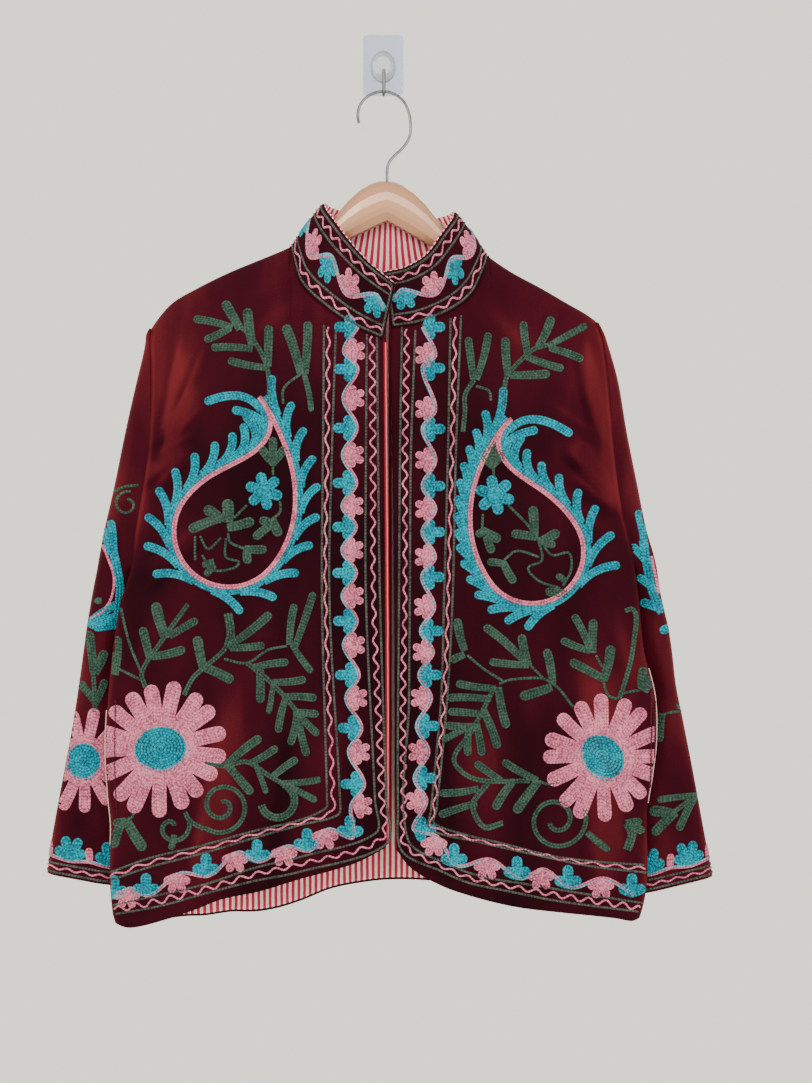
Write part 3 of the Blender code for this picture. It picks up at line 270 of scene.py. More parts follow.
def makeMaterials():
    return dict(
        velvet=velvetMaterial(),
        # The edge strip's red and pale are darker than the other stripes' colours: painted shade in the gap
        # behind the left front's edge.
        shadedEdgeStripes=stripedMaterial("striped edge cotton", 6.2, (0.33, 0.008, 0.020), (0.74, 0.30, 0.32),
                                    0.86),
        stripes=stripedMaterial("striped cotton", 6.2, (0.46, 0.012, 0.045), (0.92, 0.62, 0.64), 0.47),
        hemStripes=stripedMaterial("striped hem cotton", 5.9, (0.50, 0.014, 0.055), (0.94, 0.74, 0.74), 0.50),
        pale=plainMaterial("pale cotton", (0.80, 0.52, 0.50), 0.85),
        # Each thread's dark and light colours are its painted shade and painted highlight, mixed by the links
        # and by drifting tone.
        pink=threadMaterial("pink thread", (0.38, 0.09, 0.155), (0.72, 0.235, 0.33)),
        teal=threadMaterial("teal thread", (0.001, 0.13, 0.19), (0.002, 0.33, 0.43)),
        leaf=threadMaterial("leaf green thread", (0.017, 0.042, 0.030), (0.048, 0.102, 0.072)),
        grey=threadMaterial("grey green thread", (0.030, 0.036, 0.030), (0.085, 0.097, 0.080)),
        maroon=threadMaterial("maroon thread", (0.030, 0.003, 0.006), (0.075, 0.008, 0.014)),
        mist=threadMaterial("mist blue thread", (0.11, 0.21, 0.28), (0.26, 0.42, 0.52)),
        # The hanger, hook, prong, plate and dome are lighter face on, a painted highlight (on the steel a
        # painted reflection), and darker edge on, painted shade.
        pearl=facingHighlightShadeMaterial("pearly plastic", 0.26, (16.0, 0.5), 0.04, [
            (0.0, (0.50, 0.230, 0.112)), (0.22, (0.41, 0.175, 0.080)), (0.50, (0.27, 0.105, 0.044)),
            (0.85, (0.12, 0.042, 0.020))], Coat_Weight=1.0, Coat_Roughness=0.07, Metallic=0.25),
        steel=facingHighlightShadeMaterial("bright steel", 0.17, (220.0, 0.3), 0.03, [
            (0.0, (0.25, 0.27, 0.27)), (0.2, (0.095, 0.105, 0.105)), (0.6, (0.04, 0.042, 0.042))],
            Metallic=1.0),
        clear=facingHighlightShadeMaterial("clear plastic", 0.12, (140.0, 0.5), 0.10, [
            (0.0, (0.27, 0.32, 0.50)), (0.6, (0.23, 0.27, 0.45))],
            Transmission_Weight=0.2, IOR=1.46, Alpha=0.6, Coat_Weight=0.5),
        lens=facingHighlightShadeMaterial("clear plastic dome", 0.05, (90.0, 0.2), 0.04, [
            (0.0, (0.60, 0.62, 0.70)), (0.3, (0.34, 0.36, 0.45)), (0.8, (0.12, 0.13, 0.17))],
            Transmission_Weight=0.6, IOR=1.46, Alpha=0.8, Coat_Weight=1.0))


# Surface tools

def curveAt(table, by, wanted, value):
    # Cubic pieces through a table's column; the slope at a row is that between its neighbours.
    keys, places = table[:, by], table[:, wanted]
    if keys[0] > keys[-1]:
        keys, places = keys[::-1], places[::-1]
    value = np.clip(value, keys[0], keys[-1])
    span = np.clip(np.searchsorted(keys, value) - 1, 0, len(keys) - 2)
    index = np.arange(len(keys))
    low, high = np.maximum(index - 1, 0), np.minimum(index + 1, len(keys) - 1)
    slope = (places[high] - places[low]) / (keys[high] - keys[low])
    width = keys[span + 1] - keys[span]
    part = (value - keys[span]) / width
    rise = places[span + 1] - places[span]
    start, end = slope[span] * width, slope[span + 1] * width
    return (places[span] + part * start + part ** 2 * (3.0 * rise - 2.0 * start - end)
            + part ** 3 * (start + end - 2.0 * rise))


def columnsAt(table, columns, value):
    return np.stack([curveAt(table, 0, column, value) for column in columns], -1)


def lengthAlong(points):
    # Running length at each point of a line.
    return np.concatenate([[0.0], np.cumsum(np.linalg.norm(np.diff(points, axis=0), axis=1))])


def smoothStep(value, start, end):
    # 0 before start, 1 after end and an even S between them.
    part = np.clip((value - start) / (end - start), 0.0, 1.0)
    return part * part * (3.0 - 2.0 * part)


def turned(distance, radius):
    # A quarter circle's rise: sqrt(1 - (1 - distance / radius)^2), held at 1 beyond the radius.
    near = 1.0 - np.clip(distance / radius, 0.0, 1.0)
    return np.sqrt(1.0 - near * near)


def gridNormals(points):
    # Across the grid's two directions: d(point)/d(column) x d(point)/d(row), made one long.
    normal = np.cross(np.gradient(points, axis=1), np.gradient(points, axis=0))
    return normal / np.maximum(np.linalg.norm(normal, axis=2, keepdims=True), 1e-9)


def inwardNormals(points, probe, wayY):
    # The grid's normals, turned as a whole so that the one at the probe's row and column runs along wayY.
    inward = gridNormals(points)
    return inward if inward[probe][1] * wayY > 0.0 else -inward


def squareTo(surface, a, b, stepA, stepB):
    # Square to a surface of two numbers, from its differences over a small step of each.
    acrossA = surface(a + stepA, b) - surface(a - stepA, b)
    acrossB = surface(a, b + stepB) - surface(a, b - stepB)
    return np.cross(acrossA, acrossB)


def facingWith(way, guide):
    # The way, or its opposite where it runs against the guide.
    return np.where(np.sum(way * guide, axis=-1, keepdims=True) < 0.0, -way, way)


def gridFaces(rows, columns, start=0):
    index = start + np.arange(rows * columns).reshape(rows, columns)
    return np.stack([index[:-1, :-1], index[:-1, 1:], index[1:, 1:], index[1:, :-1]], axis=-1).reshape(-1, 4)


def faceWays(points, faces):
    # Square to each quad, across its two diagonals.
    return np.cross(points[faces[:, 2]] - points[faces[:, 0]], points[faces[:, 3]] - points[faces[:, 1]])


def makeMesh(name, points, faces, material, attributes=None, uv=None):
    # Points in millimetres (n x 3) and quads (m x 4) into one smooth mesh that rides on the part.
    data = bpy.data.meshes.new(name)
    data.vertices.add(len(points))
    data.vertices.foreach_set("co", (np.asarray(points) * mm).ravel())
    data.loops.add(faces.size)
    data.polygons.add(len(faces))
    data.polygons.foreach_set("loop_start", np.arange(len(faces)) * 4)
    data.loops.foreach_set("vertex_index", faces.ravel())
    data.update(calc_edges=True)
    data.shade_smooth()
    for label, values in (attributes or {}).items():
        layer = data.attributes.new(label, "FLOAT", "POINT")
        layer.data.foreach_set("value", np.asarray(values, dtype=np.float32).ravel())
    if uv is not None:
        layer = data.uv_layers.new(name="cloth")
        layer.data.foreach_set("uv", np.asarray(uv, dtype=np.float32)[faces.ravel()].ravel())
    data.materials.append(material)
    piece = bpy.data.objects.new(name, data)
    bpy.context.collection.objects.link(piece)
    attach(piece, "root")
    return piece


def makeShell(name, outer, inward, thickness, material, pileToneAndSheen=None, uv=None, closedFrom=None):
    # A cloth wall: the outer grid, the same grid moved in, and rims round its open edges.
    # From the row closedFrom on, the first and last columns are welded into a tube.
    rows, columns = outer.shape[:2]
    count = rows * columns
    flat, ways = outer.reshape(-1, 3), inward.reshape(-1, 3)
    points = np.concatenate([flat, flat + ways * thickness])
    front = gridFaces(rows, columns)
    index = np.arange(count).reshape(rows, columns)
    openRows = rows if closedFrom is None else closedFrom + 1
    first, last = index[:openRows, 0], index[:openRows, -1]
    faces = [front, front[:, ::-1] + count]
    for line, flip in ((index[0], False), (index[-1], True), (first, True), (last, False)):
        quads = np.stack([line[:-1], line[:-1] + count, line[1:] + count, line[1:]], axis=-1)
        faces.append(quads[:, ::-1] if flip else quads)
    faces = np.concatenate(faces)
    if np.sum(faceWays(flat, front) * ways[front[:, 0]]) > 0.0:
        faces = faces[:, ::-1]
    if closedFrom is not None:
        same = np.arange(2 * count)
        for offset in (0, count):
            same[index[closedFrom:, -1] + offset] = index[closedFrom:, 0] + offset
        faces = same[faces]
    values = None if pileToneAndSheen is None else {"pileToneAndSheen": np.concatenate([pileToneAndSheen.ravel()] * 2)}
    if uv is not None:
        uv = np.concatenate([uv.reshape(-1, 2)] * 2)
    return makeMesh(name, points, faces, material, values, uv)


# The jacket's cut, as in the frame. Tables are rows of millimetres.

cut = dict(shoulderY=-17.0, sideY=-34.5, shoulderFrontY=-29.0, backY=-1.5, backSideY=-26.0, sideTurn=11.0,
           shoulderTurn=20.0, settle=130.0, roundness=1.7, neckShare=0.38, wall=1.4, seam=0.3, liningWall=0.8)
underarmZ = dict(left=-516.0, right=-517.0)
outwards = dict(left=-1.0, right=1.0)

# Station, then the neck seam's x, y, z and the collar rim's x, y, z.
neckTable = np.array([
    (0.0, 1.0, -58.5, -293.0, 13.0, -63.5, -237.6),
    (1.0, -31.0, -57.5, -278.5, -13.0, -61.5, -216.0),
    (2.0, -60.0, -51.5, -258.0, -34.0, -54.0, -192.0),
    (3.0, -83.5, -38.0, -233.0, -51.0, -41.0, -167.5),
    (3.45, -91.2, -30.5, -207.0, -59.0, -33.0, -156.0),
    (3.75, -93.6, -24.5, -195.8, -61.0, -27.0, -150.0),
    (4.0, -94.0, -17.0, -191.5, -61.5, -20.0, -148.0),
    (4.4, -87.0, -7.0, -195.0, -57.0, -11.0, -149.5),
    (5.0, -64.0, -3.5, -208.0, -42.0, -6.0, -153.5),
    (6.0, 6.0, -3.0, -224.0, 6.0, -4.0, -163.5),
    (7.0, 78.0, -3.5, -217.0, 55.0, -6.0, -160.5),
    (7.6, 101.0, -7.0, -205.0, 70.5, -11.0, -157.5),
    (8.0, 107.0, -17.0, -201.0, 74.5, -20.0, -156.5),
    (8.25, 106.6, -24.5, -205.4, 74.0, -27.0, -159.0),
    (8.55, 104.0, -30.5, -216.5, 72.0, -33.0, -165.0),
    (9.0, 92.0, -37.0, -243.0, 62.5, -41.0, -179.5),
    (10.0, 69.0, -49.0, -263.0, 45.5, -51.5, -204.5),
    (11.0, 38.5, -54.5, -276.0, 24.0, -56.0, -219.0),
    (12.0, 8.5, -55.5, -281.0, 1.5, -57.0, -224.5)])
lastStation = neckTable[-1, 0]
frontStations = np.array((0.0, 0.5, 1.0, 1.5, 2.0, 2.5, 3.0, 3.45, 3.75, 4.0))
backStations = np.array((4.0, 4.4, 5.0, 5.5, 6.0, 6.5, 7.0, 7.6, 8.0))

# Shoulder seams: x, z from the neck to the sleeve.
shoulderTable = dict(
    left=np.array([(-94.0, -191.5), (-117.0, -201.0), (-157.0, -217.5), (-190.0, -233.8),
                   (-217.5, -250.5), (-236.0, -273.0)]),
    right=np.array([(107.0, -201.0), (132.0, -217.5), (162.5, -234.0), (190.0, -250.0),
                    (206.0, -259.0), (217.0, -266.5)]))

# Armholes: part of the way down, front edge's depth, back edge's depth.
armholeTable = np.array([
    (0.0, -17.0, -17.0), (0.013, -22.0, -11.0), (0.040, -26.0, -6.5), (0.090, -28.5, -3.5),
    (0.250, -31.0, -2.5), (0.460, -33.5, -3.0), (0.670, -36.5, -6.0), (0.840, -39.5, -13.0),
    (0.950, -40.0, -24.0), (1.0, -34.5, -34.5)])

# Side seams: z, x from the hem's corner up to the shoulder's tip.
sideTable = dict(
    left=np.array([(-877.0, -270.5), (-868.0, -273.0), (-828.0, -276.0), (-781.0, -274.5),
                   (-749.0, -277.5), (-702.0, -280.0), (-649.0, -277.5), (-602.0, -272.5),
                   (-557.0, -265.5), (-516.0, -253.4), (-481.0, -248.7), (-443.0, -242.7),
                   (-403.0, -237.3), (-364.0, -235.2), (-326.0, -235.0), (-283.0, -236.5),
                   (-273.0, -236.0)]),
    right=np.array([(-872.0, 260.0), (-862.0, 263.0), (-847.0, 266.0), (-820.0, 268.0),
                    (-765.0, 267.0), (-728.0, 272.4), (-694.0, 276.2), (-649.0, 275.0),
                    (-602.0, 264.0), (-557.0, 259.5), (-517.0, 254.2), (-489.0, 248.0),
                    (-455.0, 240.5), (-416.0, 235.5), (-365.0, 231.3), (-328.0, 229.0),
                    (-292.0, 224.0), (-266.5, 217.0)]))

# Hems: part of the width, x, z.
hemTable = dict(
    left=np.array([(0.0, 3.6, -797.0), (0.13, -28.0, -812.9), (0.32, -80.8, -828.3), (0.47, -121.8, -841.7),
                   (0.60, -160.9, -850.2), (0.70, -186.1, -860.2), (0.80, -213.4, -870.2),
                   (0.93, -252.0, -880.5), (1.0, -270.5, -877.0)]),
    right=np.array([(0.0, 13.9, -799.0), (0.06, 26.6, -815.9), (0.15, 49.4, -830.8), (0.25, 75.3, -841.9),
                    (0.46, 128.1, -856.4), (0.68, 180.2, -864.1), (0.88, 232.9, -870.7),
                    (0.96, 250.0, -874.0), (1.0, 260.0, -872.0)]),
    back=np.array([(0.0, -270.5, -877.0), (0.04, -252.0, -880.5), (0.14, -197.0, -873.2),
                   (0.25, -138.3, -875.4), (0.31, -111.6, -872.0), (0.36, -84.8, -863.8),
                   (0.42, -56.9, -852.4), (0.48, -30.1, -846.2), (0.55, 6.1, -842.1), (0.63, 48.4, -843.1),
                   (0.72, 98.0, -850.0), (0.84, 165.0, -862.0), (0.96, 243.0, -873.5), (1.0, 260.0, -872.0)]))

# Centre edges: z, x, depth at the centre, depth at the side.
centreTable = dict(
    left=np.array([(-882.0, 3.8, -57.0, -43.0), (-797.0, 3.6, -59.0, -43.5), (-650.0, 3.2, -61.0, -44.0),
                   (-516.0, 2.6, -62.0, -43.0), (-420.0, 2.0, -61.5, -36.0), (-340.0, 1.4, -60.0, -31.5),
                   (-293.0, 1.0, -58.5, -30.0), (-180.0, 1.0, -58.0, -29.0)]),
    right=np.array([(-882.0, 14.0, -56.0, -43.0), (-799.0, 13.9, -58.0, -43.5), (-650.0, 12.6, -60.0, -44.0),
                    (-516.0, 11.3, -60.5, -43.0), (-420.0, 10.1, -59.5, -36.0), (-340.0, 9.0, -57.5, -31.5),
                    (-281.0, 8.5, -55.5, -30.0), (-180.0, 8.5, -55.0, -29.0)]))

# Main creases of the fronts: x and z at each end, width, height (a trough where negative).
creases = dict(
    left=[(-203, -300, -221, -395, 12, 4.6), (-188, -337, -222, -400, 11, 3.6),
          (-196, -399, -234, -430, 12, 4.4), (-150, -640, -185, -860, 26, 4.5),
          (-60, -660, -75, -825, 24, 3.2), (-211, -298, -229, -392, 5, -3.0),
          (-196, -330, -232, -408, 5, -3.0), (-203, -409, -240, -440, 5, -2.6),
          (-178, -352, -214, -392, 4, 1.6), (-168, -640, -205, -850, 10, -2.4),
          (-92, -650, -108, -835, 9, -1.8), (-28, -560, -34, -800, 8, -1.4),
          (-175, -470, -236, -520, 7, 2.2), (-170, -486, -232, -545, 6, -1.8),
          (-222, -560, -262, -660, 9, 2.0), (-90, -250, -150, -300, 9, 1.4),
          (-120, -560, -130, -640, 10, 1.6), (-204, -285, -217, -342, 3.6, 2.0),
          (-182, -300, -204, -356, 3.6, 1.9), (-189, -304, -211, -362, 3.2, -1.6),
          (-199, -344, -219, -400, 3.6, 2.2), (-189, -382, -229, -406, 3.2, 1.8),
          (-193, -375, -231, -397, 3.2, -1.4), (-197, -401, -233, -442, 3.4, 1.9),
          (-192, -412, -228, -452, 3.2, -1.2)],
    right=[(187, -392, 232, -443, 12, 4.8), (192, -421, 238, -458, 11, 4.2), (205, -300, 219, -380, 12, 3.6),
           (205, -600, 228, -860, 24, 4.8), (95, -650, 110, -850, 28, 3.8),
           (182, -404, 228, -452, 5, -3.0), (190, -434, 236, -470, 5, -2.6), (196, -302, 212, -386, 5, -2.6),
           (176, -436, 226, -486, 5, 2.2), (188, -610, 204, -850, 10, -2.4), (60, -640, 66, -830, 9, -1.8),
           (40, -520, 44, -790, 8, -1.4), (210, -345, 228, -420, 6, 2.4), (230, -560, 258, -640, 9, 2.0),
           (100, -250, 150, -300, 9, 1.4), (140, -590, 150, -680, 10, 1.6),
           (206, -335, 229, -394, 3.4, 2.0), (200, -340, 222, -400, 3.2, -1.6),
           (186, -400, 228, -440, 3.4, 2.2), (183, -409, 222, -447, 3.2, -1.5),
           (166, -352, 214, -382, 5, 1.5), (176, -372, 220, -408, 4, 1.3), (206, -286, 214, -338, 4, 1.6)])
# The back's creases: it hangs from the shoulder blades.
backCreases = [(-150, -260, -120, -560, 16, -1.6), (140, -270, 120, -580, 15, -1.5),
               (-60, -420, -40, -840, 22, -1.8), (50, -460, 70, -840, 24, -1.7),
               (-175, -440, -215, -560, 9, -1.5), (180, -440, 214, -560, 9, -1.5),
               (0, -240, 4, -420, 18, -1.0)]


def creaseHeight(table, x, z):
    # Each crease is height x exp(-(distance / width)^2), faded in and out along its length.
    total = np.zeros_like(x)
    for x0, z0, x1, z1, width, height in table:
        runX, runZ = x1 - x0, z1 - z0
        square = runX * runX + runZ * runZ
        along = ((x - x0) * runX + (z - z0) * runZ) / square
        across = ((x - x0) * runZ - (z - z0) * runX) / math.sqrt(square)
        fade = smoothStep(along, -0.15, 0.3) * (1.0 - smoothStep(along, 0.7, 1.15))
        total += height * fade * np.exp(-(across / width) ** 2)
    return total


def rumple(x, z, seed):
    # Slow uneven waves: a few sines of x and z with unlike wavelengths.
    return (0.45 * np.sin(x / 37.0 + z / 71.0 + seed) + 0.35 * np.sin(x / 19.0 - z / 53.0 + 2.1 * seed)
            + 0.25 * np.sin(z / 23.0 + x / 61.0 + 0.7 * seed))


def shoulderLine(side, part):
    # A shoulder seam's x and z: part is 0 at the neck and 1 at the sleeve.
    shoulder = shoulderTable[side]
    x = shoulder[0, 0] + (shoulder[-1, 0] - shoulder[0, 0]) * part
    return np.stack([x, curveAt(shoulder, 0, 1, x)], -1)


def topTable(side):
    # A front's upper edge as rows of x, z, y: the neck seam from the centre, then the shoulder.
    neck = columnsAt(neckTable, (1, 3, 2), frontStations if side == "left" else lastStation - frontStations)
    line = shoulderLine(side, np.linspace(0.0, 1.0, 15)[1:])
    return np.concatenate([neck, np.pad(line, ((0, 0), (0, 1)), constant_values=cut["shoulderY"])])


def backTopTable():
    # The back's upper edge from the left shoulder's tip over the neck to the right one: x, z, y.
    left, right = [topTable(side)[len(frontStations):] for side in ("left", "right")]
    return np.concatenate([left[::-1], columnsAt(neckTable, (1, 3, 2), backStations), right])


def easedTop(table, spread=16.0):
    # The upper edge smoothed along x with a bell curve, so that the cloth below a corner falls evenly.
    x = np.linspace(table[:, 0].min() - 40.0, table[:, 0].max() + 40.0, 260)
    z, y = curveAt(table, 0, 1, x), curveAt(table, 0, 2, x)
    bell = np.exp(-0.5 * ((x[:, None] - x[None, :]) / spread) ** 2)
    bell /= bell.sum(axis=1, keepdims=True)
    return np.stack([x, bell @ z, bell @ y], -1)


topTables = dict(left=topTable("left"), right=topTable("right"), back=backTopTable())
easedTops = dict(left=easedTop(topTables["left"]), right=easedTop(topTables["right"]))


def sideX(side, z):
    return curveAt(sideTable[side], 0, 1, z)


def sideEdge(side, v):
    # A side seam's x and z: v is 0 at the hem and 1 at the shoulder's tip.
    low = sideTable[side][0, 0]
    z = low + (sideTable[side][-1, 0] - low) * v
    return np.stack([sideX(side, z), z], -1)


def edgeDepth(side, z, face):
    # Depth of a panel's outer edge: the side seam's, or the armhole's above the underarm.
    tip = sideTable[side][-1, 0]
    part = (z - tip) / (underarmZ[side] - tip)
    column = 1 if face == "front" else 2
    return np.where(part < 1.0, curveAt(armholeTable, 0, column, part), cut["sideY"])


def easedDepth(sheet, edgeY, topY, cornerY, fromSide, belowTop):
    # The sheet's depth, turned like a quarter circle into its outer edge and its upper edge.
    atSide = 1.0 - turned(fromSide, cut["sideTurn"])
    atTop = 1.0 - turned(belowTop, cut["shoulderTurn"])
    return sheet + (edgeY - sheet) * atSide + (topY - sheet) * atTop - (cornerY - sheet) * atSide * atTop


def frontDepth(side, x, z):
    centre = centreTable[side]
    centreX = curveAt(centre, 0, 1, z)
    outerX = sideX(side, z)
    reach = np.abs(x - centreX) / np.abs(outerX - centreX)
    near, far = curveAt(centre, 0, 2, z), curveAt(centre, 0, 3, z)
    depth = far + (near - far) * np.maximum(0.0, 1.0 - reach ** cut["roundness"])
    top = topTables[side]
    topZ, edgeY = curveAt(top, 0, 1, x), curveAt(top, 0, 2, x)
    belowTop = np.maximum(0.0, topZ - z)
    eased = easedTops[side]
    belowEased = np.maximum(0.0, np.interp(x, eased[:, 0], eased[:, 1]) - z)
    settledY = np.minimum(np.interp(x, eased[:, 0], eased[:, 2]), cut["shoulderFrontY"])
    settled = smoothStep(belowEased, 0.0, cut["settle"])
    waves = rumple(x, z, 1.0 if side == "left" else 4.0) * smoothStep(belowTop, 5.0, 60.0)
    sheet = settledY + (depth - settledY) * settled - creaseHeight(creases[side], x, z) - waves
    fromSide = np.abs(outerX - x)
    return easedDepth(sheet, edgeDepth(side, z, "front"), edgeY, cut["shoulderY"], fromSide, belowTop)


def backDepth(x, z):
    top = topTables["back"]
    topZ, edgeY = curveAt(top, 0, 1, x), curveAt(top, 0, 2, x)
    belowTop = np.maximum(0.0, topZ - z)
    step = smoothStep(np.abs(x), 150.0, 188.0) * smoothStep(-z, 430.0, 520.0)
    sheet = cut["backY"] + (cut["backSideY"] - cut["backY"]) * step + creaseHeight(backCreases, x, z)
    fromLeft, fromRight = np.abs(x - sideX("left", z)), np.abs(sideX("right", z) - x)
    edge = np.where(fromLeft < fromRight, edgeDepth("left", z, "back"), edgeDepth("right", z, "back"))
    return easedDepth(sheet, edge, edgeY, cut["shoulderY"], np.minimum(fromLeft, fromRight), belowTop)


def gradedSteps(length, pitch, fine, both=False):
    # Shares from 0 to 1 at about the pitch, closer over the last stretch (and the first one too).
    near = np.array(fine) / length
    count = max(2, int((length - near[-1] * length) / pitch))
    middle = np.linspace(near[-1] if both else 0.0, 1.0 - near[-1], count)
    shares = [middle, 1.0 - near[-2::-1]]
    if both:
        shares.insert(0, near[:-1])
    return np.concatenate(shares)


fineSteps = (0.0, 0.12, 0.5, 1.1, 2.0, 3.2, 4.8, 6.8, 9.0, 11.5)
fineTop = (0.0, 0.2, 0.8, 1.8, 3.2, 5.0, 7.4, 10.2, 13.4, 16.8, 20.5)


def frontPlan(side, u, v):
    # Coons patch in x and z between hem, upper edge, centre and side. u runs outwards, v up.
    share = cut["neckShare"]
    stations = np.interp(u / share, np.linspace(0.0, 1.0, len(frontStations)), frontStations)
    if side == "right":
        stations = lastStation - stations
    part = np.clip((u - share) / (1.0 - share), 0.0, 1.0)
    top = np.where((u < share)[:, None], columnsAt(neckTable, (1, 3), stations), shoulderLine(side, part))
    hem = columnsAt(hemTable[side], (1, 2), u)
    centreZ = hem[0, 1] + (top[0, 1] - hem[0, 1]) * v
    centre = np.stack([curveAt(centreTable[side], 0, 1, centreZ), centreZ], -1)
    return coons(hem, top, centre, sideEdge(side, v), u, v)


def coons(low, high, first, last, u, v):
    # Blend of the two pairs of edges, less the blend of the corners.
    a, b = u[None, :, None], v[:, None, None]
    corners = ((1 - a) * (1 - b) * low[0] + a * (1 - b) * low[-1] + (1 - a) * b * high[0] + a * b * high[-1])
    return (1 - b) * low[None] + b * high[None] + (1 - a) * first[:, None] + a * last[:, None] - corners


def backPlan(u, v):
    # The same patch for the back. u runs from the left side seam to the right one.
    half, reach = 0.5, cut["neckShare"] * 0.5
    part = np.clip((np.abs(u - half) - reach) / (half - reach), 0.0, 1.0)
    stations = np.interp((u - half + reach) / (2 * reach), np.linspace(0.0, 1.0, len(backStations)),
                         backStations)
    top = columnsAt(neckTable, (1, 3), stations)
    top = np.where((u < half - reach)[:, None], shoulderLine("left", part), top)
    top = np.where((u > half + reach)[:, None], shoulderLine("right", part), top)
    hem = columnsAt(hemTable["back"], (1, 2), u)
    return coons(hem, top, sideEdge("left", v), sideEdge("right", v), u, v)


def pileToneAndSheenFor(x, z, fromSide, ridge):
    # Pile tone with painted light: painted sheen along the outer edges where the cloth turns away and towards
    # the shoulders and sides, painted highlights on ridges, painted shade in troughs, and a little uneven
    # elsewhere.
    # Painted sheen along the outer edges, with a narrow painted highlight line just inside them.
    edge = np.exp(-(fromSide / 10.0) ** 2) * (0.55 + 0.45 * np.sin(z / 31.0 + x / 90.0))
    edge = edge + 0.7 * np.exp(-((fromSide - 2.2) / 1.8) ** 2)
    # Painted sheen, lighter towards the shoulders and towards the sides.
    shoulder = 0.30 * smoothStep(z, -420.0, -250.0) + 0.16 * smoothStep(np.abs(x), 110.0, 240.0)
    # Ridges get a painted highlight and troughs painted shade; the last term is uneven tone.
    return (0.17 + 0.3 * edge + shoulder + 0.10 * np.clip(ridge, -2.5, 3.5)
            + 0.06 * rumple(x * 1.7, z * 1.3, 3.0))


# Width and length of a panel's mesh, each with its pitch.
panelMesh = dict(front=(265.0, 3.2, 600.0, 3.4), back=(530.0, 5.0, 610.0, 5.2))
panels = {}


def makeFront(side, materials):
    width, pitchU, length, pitchV = panelMesh["front"]
    plan = frontPlan(side, gradedSteps(width, pitchU, fineSteps), gradedSteps(length, pitchV, fineTop))
    x, z = plan[..., 0], plan[..., 1]
    points = np.stack([x, frontDepth(side, x, z), z], -1)
    points[:, -1, 1] -= cut["seam"] / 2
    inward = inwardNormals(points, (40, 40), 1.0)
    inward[:, -1] = (-outwards[side], 0.0, 0.0)
    # Crease ridges and waves give the pile painted highlight and painted shade.
    pileToneAndSheen = pileToneAndSheenFor(x, z, np.abs(sideX(side, z) - x), creaseHeight(creases[side], x, z) + rumple(x, z, 1.0))
    piece = makeShell("frontCloth" + side.title(), points, inward, cut["wall"], materials["velvet"],
                      pileToneAndSheen)
    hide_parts("front_" + side)
    panels["front" + side] = (points, inward)
    return piece


def makeBack(materials):
    width, pitchU, length, pitchV = panelMesh["back"]
    plan = backPlan(gradedSteps(width, pitchU, fineSteps, both=True), gradedSteps(length, pitchV, fineTop))
    x, z = plan[..., 0], plan[..., 1]
    points = np.stack([x, backDepth(x, z), z], -1)
    points[:, [0, -1], 1] += cut["seam"] / 2
    inward = inwardNormals(points, (20, 40), -1.0)
    inward[:, 0] = (1.0, 0.0, 0.0)
    inward[:, -1] = (-1.0, 0.0, 0.0)
    fromSide = np.minimum(np.abs(x - sideX("left", z)), np.abs(sideX("right", z) - x))
    # Back creases give the pile painted highlight and painted shade.
    pileToneAndSheen = pileToneAndSheenFor(x, z, fromSide, -creaseHeight(backCreases, x, z))
    piece = makeShell("backCloth", points, inward, cut["wall"], materials["velvet"], pileToneAndSheen)
    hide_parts("back")
    panels["back"] = (points, inward)
    return piece


# Sleeves: rows from the shoulder's tip to the cuff. Outer edge beside the armhole: z, x.
sleeveEdge = dict(
    left=np.array([(-273.0, -236.9), (-276.5, -239.2), (-283.0, -242.0), (-297.0, -243.8), (-338.0, -253.8),
                   (-379.0, -263.0), (-420.0, -270.8), (-461.0, -280.5), (-501.0, -288.5), (-516.0, -291.2)]),
    right=np.array([(-266.5, 217.9), (-270.0, 220.6), (-276.5, 223.8), (-291.0, 229.8), (-303.0, 234.2),
                    (-327.0, 240.2), (-353.0, 243.8), (-379.0, 249.0), (-430.0, 259.2), (-470.0, 266.8),
                    (-490.0, 272.2), (-502.0, 275.9), (-517.0, 279.4)]))
# Below the armhole: inner edge's x, y, z and outer edge's x, z.
sleeveRings = dict(
    left=[(-255.0, -28.5, -523.0, -292.4, -522.5), (-257.0, -25.0, -533.0, -294.2, -531.5),
          (-259.5, -21.5, -546.0, -296.5, -543.5), (-257.0, -18.0, -562.0, -299.2, -558.5),
          (-249.0, -15.0, -584.0, -302.5, -579.0), (-238.0, -13.0, -612.0, -306.3, -606.0),
          (-226.0, -12.0, -648.0, -311.0, -640.0), (-214.0, -11.5, -690.0, -317.2, -680.0),
          (-209.0, -11.5, -735.0, -325.0, -722.0), (-210.0, -11.5, -778.0, -332.6, -762.0),
          (-215.0, -11.5, -818.0, -339.0, -798.0), (-220.0, -11.5, -853.5, -343.3, -830.4)],
    right=[(254.9, -28.5, -524.0, 280.5, -523.0), (256.5, -25.0, -534.0, 281.8, -532.0),
           (257.0, -21.5, -547.0, 283.6, -544.0), (254.5, -18.0, -563.0, 286.8, -559.0),
           (247.5, -15.0, -585.0, 291.8, -580.0), (237.0, -13.0, -613.0, 295.8, -606.0),
           (227.0, -12.0, -650.0, 299.8, -640.0), (216.0, -11.5, -693.0, 307.5, -678.0),
           (210.0, -11.5, -740.0, 316.2, -722.0), (209.5, -11.5, -785.0, 324.2, -765.0),
           (213.0, -11.5, -828.0, 331.0, -802.0), (216.0, -11.5, -864.0, 337.2, -833.5)])
underarmRow = len(armholeTable) - 1
cuffRow = underarmRow + len(sleeveRings["left"])
